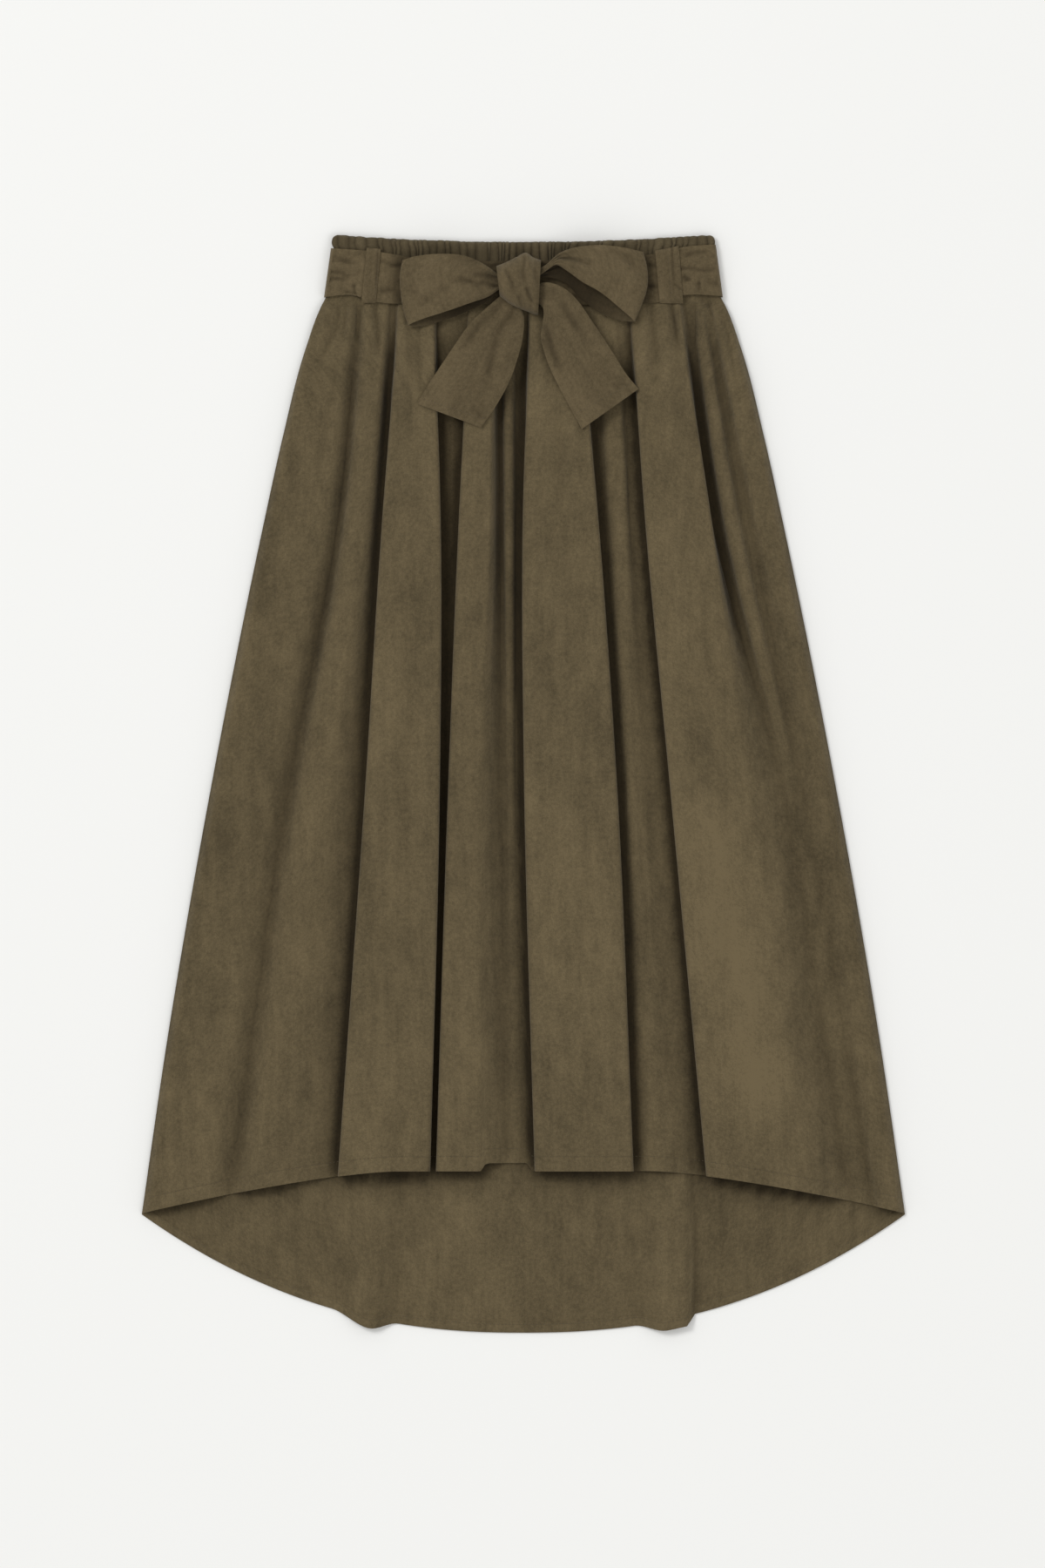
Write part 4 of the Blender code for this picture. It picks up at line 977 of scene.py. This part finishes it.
for strap in STRAPS:
    across = np.linspace(0.0, 1.0, STRAP_COLUMNS)[None, :]
    up = np.linspace(0.0, 1.0, STRAP_ROWS)[:, None]
    top = strap.left_top + (strap.right_top - strap.left_top) * across
    down = strap.low + (top - strap.low) * up
    inward = np.minimum(strap.low - down, down - top)
    bend = read(STRAP_BEND, np.minimum(inward, STRAP_BEND[-1][0]))[0]
    share = (down - strap.left_top) / (strap.low - strap.left_top)
    left = strap.top_left + (strap.low_left - strap.top_left) * share
    right = strap.top_right + (strap.low_right - strap.top_right) * share
    x = left + (right - left) * across
    rim = smooth(np.minimum(x - left, right - x) / 1.3)
    lift = creased(x, down, STRAP_CREASES)
    z = STRAP_BASE + bend + rim * (0.25 + np.clip(lift, -0.6, 1.0)) - 0.45
    strap_middle = np.stack((x, down, z), axis=2)
    loop = shell_of(strap.node, *walled(strap_middle, STRAP_WALL), olive_sash, "sash")
    # Painted shade in the strap's creases.
    mark(loop, "depth", np.clip(-0.5 * lift, 0.0, 0.5))
    strap_lines.append(strap_middle[6:-6, strap.seam_column] + (0.0, 0.0, WALL / 2 + 0.05))
stitched("belt_loop_stitches", strap_lines, pitch=2.9, length=1.9)

# The bow's loops: the doubled belt goes out from the knot, turns over and comes back under
# itself, so each loop is a soft open tube that is gathered at the knot.
LOOP_TURNS = 110
LOOP_ROWS = 46
LOOP_ROOT = 12.0
LOOP_SHARES = (0.0, 0.25, 0.5, 0.75, 1.0)
LoopRow = namedtuple("LoopRow", "share top front_low back_low")
LoopDepth = namedtuple("LoopDepth", "root root_half middle half")
LEFT_DEPTH = LoopDepth(15.4, 2.4, 16.5, 6.6)
RIGHT_DEPTH = LoopDepth(15.0, 2.2, 17.6, 7.9)
LEFT_REACH = (94.3, 96.8, 96.0, 93.8, 89.5)
RIGHT_REACH = (93.5, 97.0, 97.0, 92.5, 86.0)
LEFT_LOOP = rows_of(
    LoopRow,
    (0.00, 36.0, 46.0, 47.0),
    (0.12, 34.5, 49.0, 50.5),
    (0.20, 29.0, 54.0, 57.0),
    (0.36, 20.9, 59.4, 64.8),
    (0.68, 17.4, 69.4, 76.3),
    (0.89, 19.5, 75.5, 80.7),
    (1.00, 22.5, 79.5, 80.8),
)
RIGHT_LOOP = rows_of(
    LoopRow,
    (0.00, 31.0, 37.0, 38.0),
    (0.08, 27.5, 32.5, 37.5),
    (0.20, 17.5, 26.5, 39.5),
    (0.30, 13.3, 31.5, 43.5),
    (0.46, 10.3, 41.5, 57.0),
    (0.65, 9.8, 51.0, 69.0),
    (0.87, 12.6, 66.5, 76.0),
    (1.00, 15.5, 76.0, 77.0),
)
LOOP_CREASES = rows_of(
    Crease,
    (1.5, 3.4, ((-20.8, 32.3), (-43.1, 30.0), (-68.5, 26.2))),
    (-1.6, 2.6, ((-19.2, 38.5), (-34.6, 36.2), (-50.1, 33.1))),
    (-1.6, 2.8, ((-20.8, 46.2), (-40.8, 42.4), (-65.5, 38.5))),
    (1.2, 4.0, ((-20.8, 50.8), (-43.1, 51.6), (-73.9, 52.4))),
    (1.0, 6.0, ((-77.8, 23.1), (-88.5, 37.0), (-94.7, 53.9))),
    (-0.9, 4.0, ((-100.9, 32.3), (-94.7, 47.7), (-91.6, 65.5))),
    (-0.8, 3.0, ((-31.6, 24.6), (-50.8, 20.8), (-73.9, 18.5))),
    (1.5, 3.4, ((26.9, 23.1), (49.3, 28.5), (72.4, 40.0))),
    (-1.3, 2.6, ((25.4, 20.0), (45.4, 22.3), (68.5, 30.0))),
    (1.3, 8.0, ((54.7, 13.9), (76.2, 29.3), (90.1, 46.2))),
    (-1.0, 4.0, ((73.2, 10.8), (93.2, 23.1), (105.5, 37.0))),
    (0.9, 6.0, ((68.5, 46.2), (85.5, 57.0), (97.8, 66.2))),
)


def bow_loop(node, table, reach, side, depth):
    """One loop of the bow. turn goes from its front layer at the knot to its back layer."""
    turn = math.pi * np.linspace(0.0, 1.0, LOOP_TURNS)[None, :]
    across = np.linspace(1.0, 0.0, LOOP_ROWS)[:, None]
    out = np.sin(turn)
    top, front_low, back_low = read(table, out)
    low = front_low + (back_low - front_low) * smooth(0.5 - 1.5 * np.cos(turn))
    down = top + (low - top) * across
    x = side * (LOOP_ROOT + out * through(LOOP_SHARES, reach, across))
    spread = smooth(1.6 * out)
    middle = depth.root + (depth.middle - depth.root) * spread
    half = depth.root_half + (depth.half - depth.root_half) * spread
    front = smooth(1.6 * np.cos(turn))
    rim = smooth(np.minimum(across, 1 - across) / 0.12)
    gathers = (1 - out) ** 1.3 * np.sin(7 * math.pi * across + 0.8 * np.sin(4 * across))
    puff = 1.2 * np.sin(math.pi * across) * np.maximum(np.sin(2 * turn), 0.0)
    crowned = 0.7 * (rim - 1.0) * front
    lift = creased(x, down, LOOP_CREASES) * front * (0.35 + 0.65 * rim)
    lift += 0.55 * unevenness(x, down, 31 + side, 1.0, 30.0, 22.0) * front
    lift += 0.35 * unevenness(x, down, 51 + side, 1.0, 15.0, 10.0) * front
    z = middle + half * np.cos(turn) + 0.8 * gathers + puff + crowned + np.clip(lift, -1.6, 1.8)
    loop = shell_of(node, *walled(np.stack((x, down, z), axis=2)), olive_sash, "sash")
    # Painted shade: darker on the loop's back layer inside the tube, towards the knot, and in its
    # creases.
    inside = smooth((turn / math.pi - 0.5) / 0.12) * (0.45 + 0.55 * smooth((1 - out) / 0.5))
    mark(loop, "depth", 0.85 * inside + 0.45 * (1 - out) ** 2 * (1 - rim * 0.3)
         + np.clip(-0.28 * lift, 0.0, 0.5))


bow_loop("bow_loop_left", LEFT_LOOP, LEFT_REACH, -1, LEFT_DEPTH)
bow_loop("bow_loop_right", RIGHT_LOOP, RIGHT_REACH, 1, RIGHT_DEPTH)

# The bow's tails: the two ends of the belt, which lie from pleat to pleat of the front and are
# cut on the slant, turned in and stitched along their ends.
TAIL_COLUMNS = 9
TAIL_SETTLING = 60
TAIL_GAP = 0.35
TAIL_FINE = 5
TAIL_REACH = 9.0
BELT_CARRY_END = 64.0
BELT_CARRY_HEIGHT = 2.3
TailRow = namedtuple("TailRow", "left_x left_down right_x right_down lift")
LEFT_TAIL = rows_of(
    TailRow,
    (-20.0, 54.0, -3.5, 62.0, 0.0),
    (-30.0, 62.5, 0.5, 74.0, 0.0),
    (-47.0, 78.6, -0.5, 89.0, 0.3),
    (-62.4, 100.2, -4.5, 107.0, 0.5),
    (-77.8, 123.3, -13.0, 131.0, 0.5),
    (-86.5, 137.0, -25.0, 152.5, 0.3),
    (-93.9, 149.5, -37.7, 170.3, 0.0),
)
RIGHT_TAIL = rows_of(
    TailRow,
    (8.0, 57.0, 8.0, 46.5, 4.0),
    (17.5, 65.0, 20.0, 42.5, 7.0),
    (17.5, 76.0, 34.0, 46.5, 6.0),
    (15.5, 88.0, 47.0, 57.5, 3.0),
    (17.0, 99.0, 60.8, 77.1, 1.5),
    (24.0, 119.0, 76.2, 100.2, 0.5),
    (36.0, 143.0, 90.0, 122.0, 0.3),
    (51.6, 171.8, 101.6, 136.4, 0.0),
)
TAIL_CREASES = rows_of(
    Crease,
    (-1.7, 4.0, ((-6.9, 61.6), (-22.3, 84.7), (-30.0, 115.5), (-34.6, 138.6))),
    (1.4, 5.0, ((-11.6, 61.6), (-31.6, 87.8), (-42.4, 109.3), (-51.6, 138.6))),
    (-1.2, 4.0, ((-17.7, 58.5), (-40.8, 81.6), (-56.2, 103.2))),
    (1.2, 4.0, ((-2.3, 66.2), (-5.4, 87.8), (-11.6, 107.8))),
    (0.9, 8.0, ((-62.4, 115.5), (-71.6, 134.8), (-79.3, 154.0))),
    (1.6, 5.0, ((25.4, 66.2), (36.2, 97.0), (51.6, 124.7), (62.4, 144.8))),
    (-1.6, 3.4, ((19.2, 78.5), (25.4, 101.6), (36.2, 130.9))),
    (-1.2, 4.0, ((33.1, 58.5), (48.5, 83.2), (63.9, 106.3))),
    (1.1, 5.0, ((42.4, 57.0), (60.8, 81.6), (76.2, 103.2))),
    (0.9, 3.0, ((94.7, 127.8), (97.8, 134.0), (102.4, 140.1))),
)
over_belt = MAP_TOP + MAP_STEP * np.arange(MAP_SIZE[1])[None, :] < BELT_CARRY_END
belt_height = BELT_FRONT_BASE + BELT_CARRY_HEIGHT
height_map = np.where(over_belt, np.maximum(heights, belt_height), heights)
reach = round(TAIL_REACH / MAP_STEP)
padded = np.pad(height_map, reach, mode="edge")
carried = np.zeros(MAP_SIZE)
for shift_x in range(2 * reach + 1):
    for shift_down in range(2 * reach + 1):
        window = padded[shift_x:shift_x + MAP_SIZE[0], shift_down:shift_down + MAP_SIZE[1]]
        carried = np.maximum(carried, window)


def bow_tail(node, table, coarse_rows):
    """One tail, settled over what is under it at a coarse step and then drawn finely."""
    shares = np.linspace(0.0, 1.0, len(table))
    along = np.linspace(1.0, 0.0, coarse_rows)[:, None]
    across = np.linspace(0.0, 1.0, TAIL_COLUMNS)[None, :]

    def edges(at_along, at_across):
        left_x, left_down, right_x, right_down, lift = (
            through(shares, values, at_along) for values in zip(*table))
        x = left_x + (right_x - left_x) * at_across
        return x, left_down + (right_down - left_down) * at_across, lift

    x, down, lift = edges(along, across)
    under = carried[cell_of(x, down)] + TAIL_GAP + WALL / 2
    z = under.copy()
    for _ in range(TAIL_SETTLING):
        padded = np.pad(z, 1, mode="edge")
        z = np.maximum(under, (padded[:-2, 1:-1] + padded[2:, 1:-1]
                               + padded[1:-1, :-2] + padded[1:-1, 2:]) / 4)
    z = under + (z - under) * smooth((along - 0.08) / 0.3) + lift
    fine_along = np.linspace(1.0, 0.0, coarse_rows * TAIL_FINE)[:, None]
    fine_across = np.linspace(0.0, 1.0, TAIL_COLUMNS * TAIL_FINE)[None, :]
    fine_x, fine_down, _ = edges(fine_along, fine_across)
    drawn = np.stack([through(across[0], row, fine_across[0]) for row in z])
    drawn = np.stack([through(along[::-1, 0], drawn[::-1, column], fine_along[:, 0])
                      for column in range(drawn.shape[1])], axis=1)
    folds = 1.2 * (1 - fine_along) * (0.5 + 0.5 * np.sin(3 * math.pi * fine_across + 0.6))
    rim = smooth(np.minimum(fine_across, 1 - fine_across) / 0.05)
    creases = creased(fine_x, fine_down, TAIL_CREASES)
    creases += 0.45 * unevenness(fine_x, fine_down, 41, 1.0, 36.0, 36.0)
    creases += 0.30 * unevenness(fine_x, fine_down, 43, 1.0, 16.0, 18.0)
    drawn = drawn + folds + np.clip(creases, -0.9, 1.8) * (0.4 + 0.6 * rim) + 0.3 * rim
    middle = np.stack((fine_x, fine_down, drawn), axis=2)
    tail = shell_of(node, *walled(middle), olive_sash, "sash")
    # Painted shade: darker in the tail's creases and near the knot.
    knot_shade = smooth((0.16 - fine_along) / 0.16)
    mark(tail, "depth", np.clip(-0.30 * creases, 0.0, 0.5) + 0.4 * knot_shade)
    return middle


left_tail = bow_tail("tail_left", LEFT_TAIL, 12)
right_tail = bow_tail("tail_right", RIGHT_TAIL, 13)
tail_lines = [tail[4, 2:-2] + (0.0, 0.0, WALL / 2 + 0.05) for tail in (left_tail, right_tail)]
stitched("tail_stitches", tail_lines, pitch=3.0, length=2.0)

# The knot: one turn of the belt wrapped over the roots of the loops, pulled into pleats.
KNOT_COLUMNS = 56
KNOT_ROWS = 72
KNOT_TOP_RIM = 11.6
KNOT_LOW_RIM = 13.2
KNOT_CROWN = 16.0
KnotRow = namedtuple("KnotRow", "share top_x bottom_x top bottom")
KNOT = rows_of(
    KnotRow,
    (0.00, -24.0, -21.0, 27.6, 54.0),
    (0.20, -16.2, -13.0, 24.6, 60.5),
    (0.45, -6.0, -3.0, 19.5, 65.5),
    (0.70, 3.1, 6.0, 16.0, 69.0),
    (0.85, 9.0, 9.5, 20.0, 70.5),
    (1.00, 15.5, 13.0, 22.4, 71.0),
)
KNOT_CREASES = rows_of(
    Crease,
    (-1.4, 1.8, ((2.3, 46.2), (5.4, 55.4), (10.0, 65.5))),
    (-1.2, 1.6, ((-4.6, 53.9), (-3.1, 60.1), (-1.5, 66.2))),
    (1.1, 2.6, ((-8.5, 23.1), (-3.9, 38.5), (-0.8, 58.5))),
    (-1.1, 2.0, ((1.5, 18.5), (-0.8, 32.3), (1.5, 47.7))),
    (1.0, 2.6, ((5.4, 21.6), (6.9, 37.0), (8.5, 53.9))),
    (-1.0, 2.0, ((-16.2, 29.3), (-10.0, 43.1), (-6.9, 58.5))),
    (-1.1, 1.8, ((11.6, 23.1), (10.0, 35.4), (13.1, 49.3))),
)
share = np.linspace(0.0, 1.0, KNOT_COLUMNS)[None, :]
angle = math.pi * np.linspace(1.0, 0.0, KNOT_ROWS)[:, None]
sweep = 0.5 * (1 - np.cos(angle))
top_x, bottom_x, top, bottom = read(KNOT, share)
x = top_x + (bottom_x - top_x) * sweep
down = top + (bottom - top) * sweep
rim = smooth(np.minimum(share, 1 - share) / 0.12)
pleat = 0.6 * np.sin(2.5 * math.pi * share + 1.5 * sweep) * np.sin(angle)
crease = creased(x, down, KNOT_CREASES) * np.sin(angle)
z = (KNOT_TOP_RIM + (KNOT_LOW_RIM - KNOT_TOP_RIM) * sweep + KNOT_CROWN * np.sin(angle) ** 0.8
     + pleat + np.clip(crease, -1.1, 1.0) + 0.9 * (rim - 1.0) * np.sin(angle))
knot_cloth = shell_of("bow_knot", *walled(np.stack((x, down, z), axis=2), lean=-0.5),
                      olive_sash, "sash")
# Painted shade in the knot's creases and along its rims.
mark(knot_cloth, "depth", np.clip(-0.4 * crease, 0.0, 0.5) + 0.3 * (1 - rim))

bpy.context.view_layer.update()
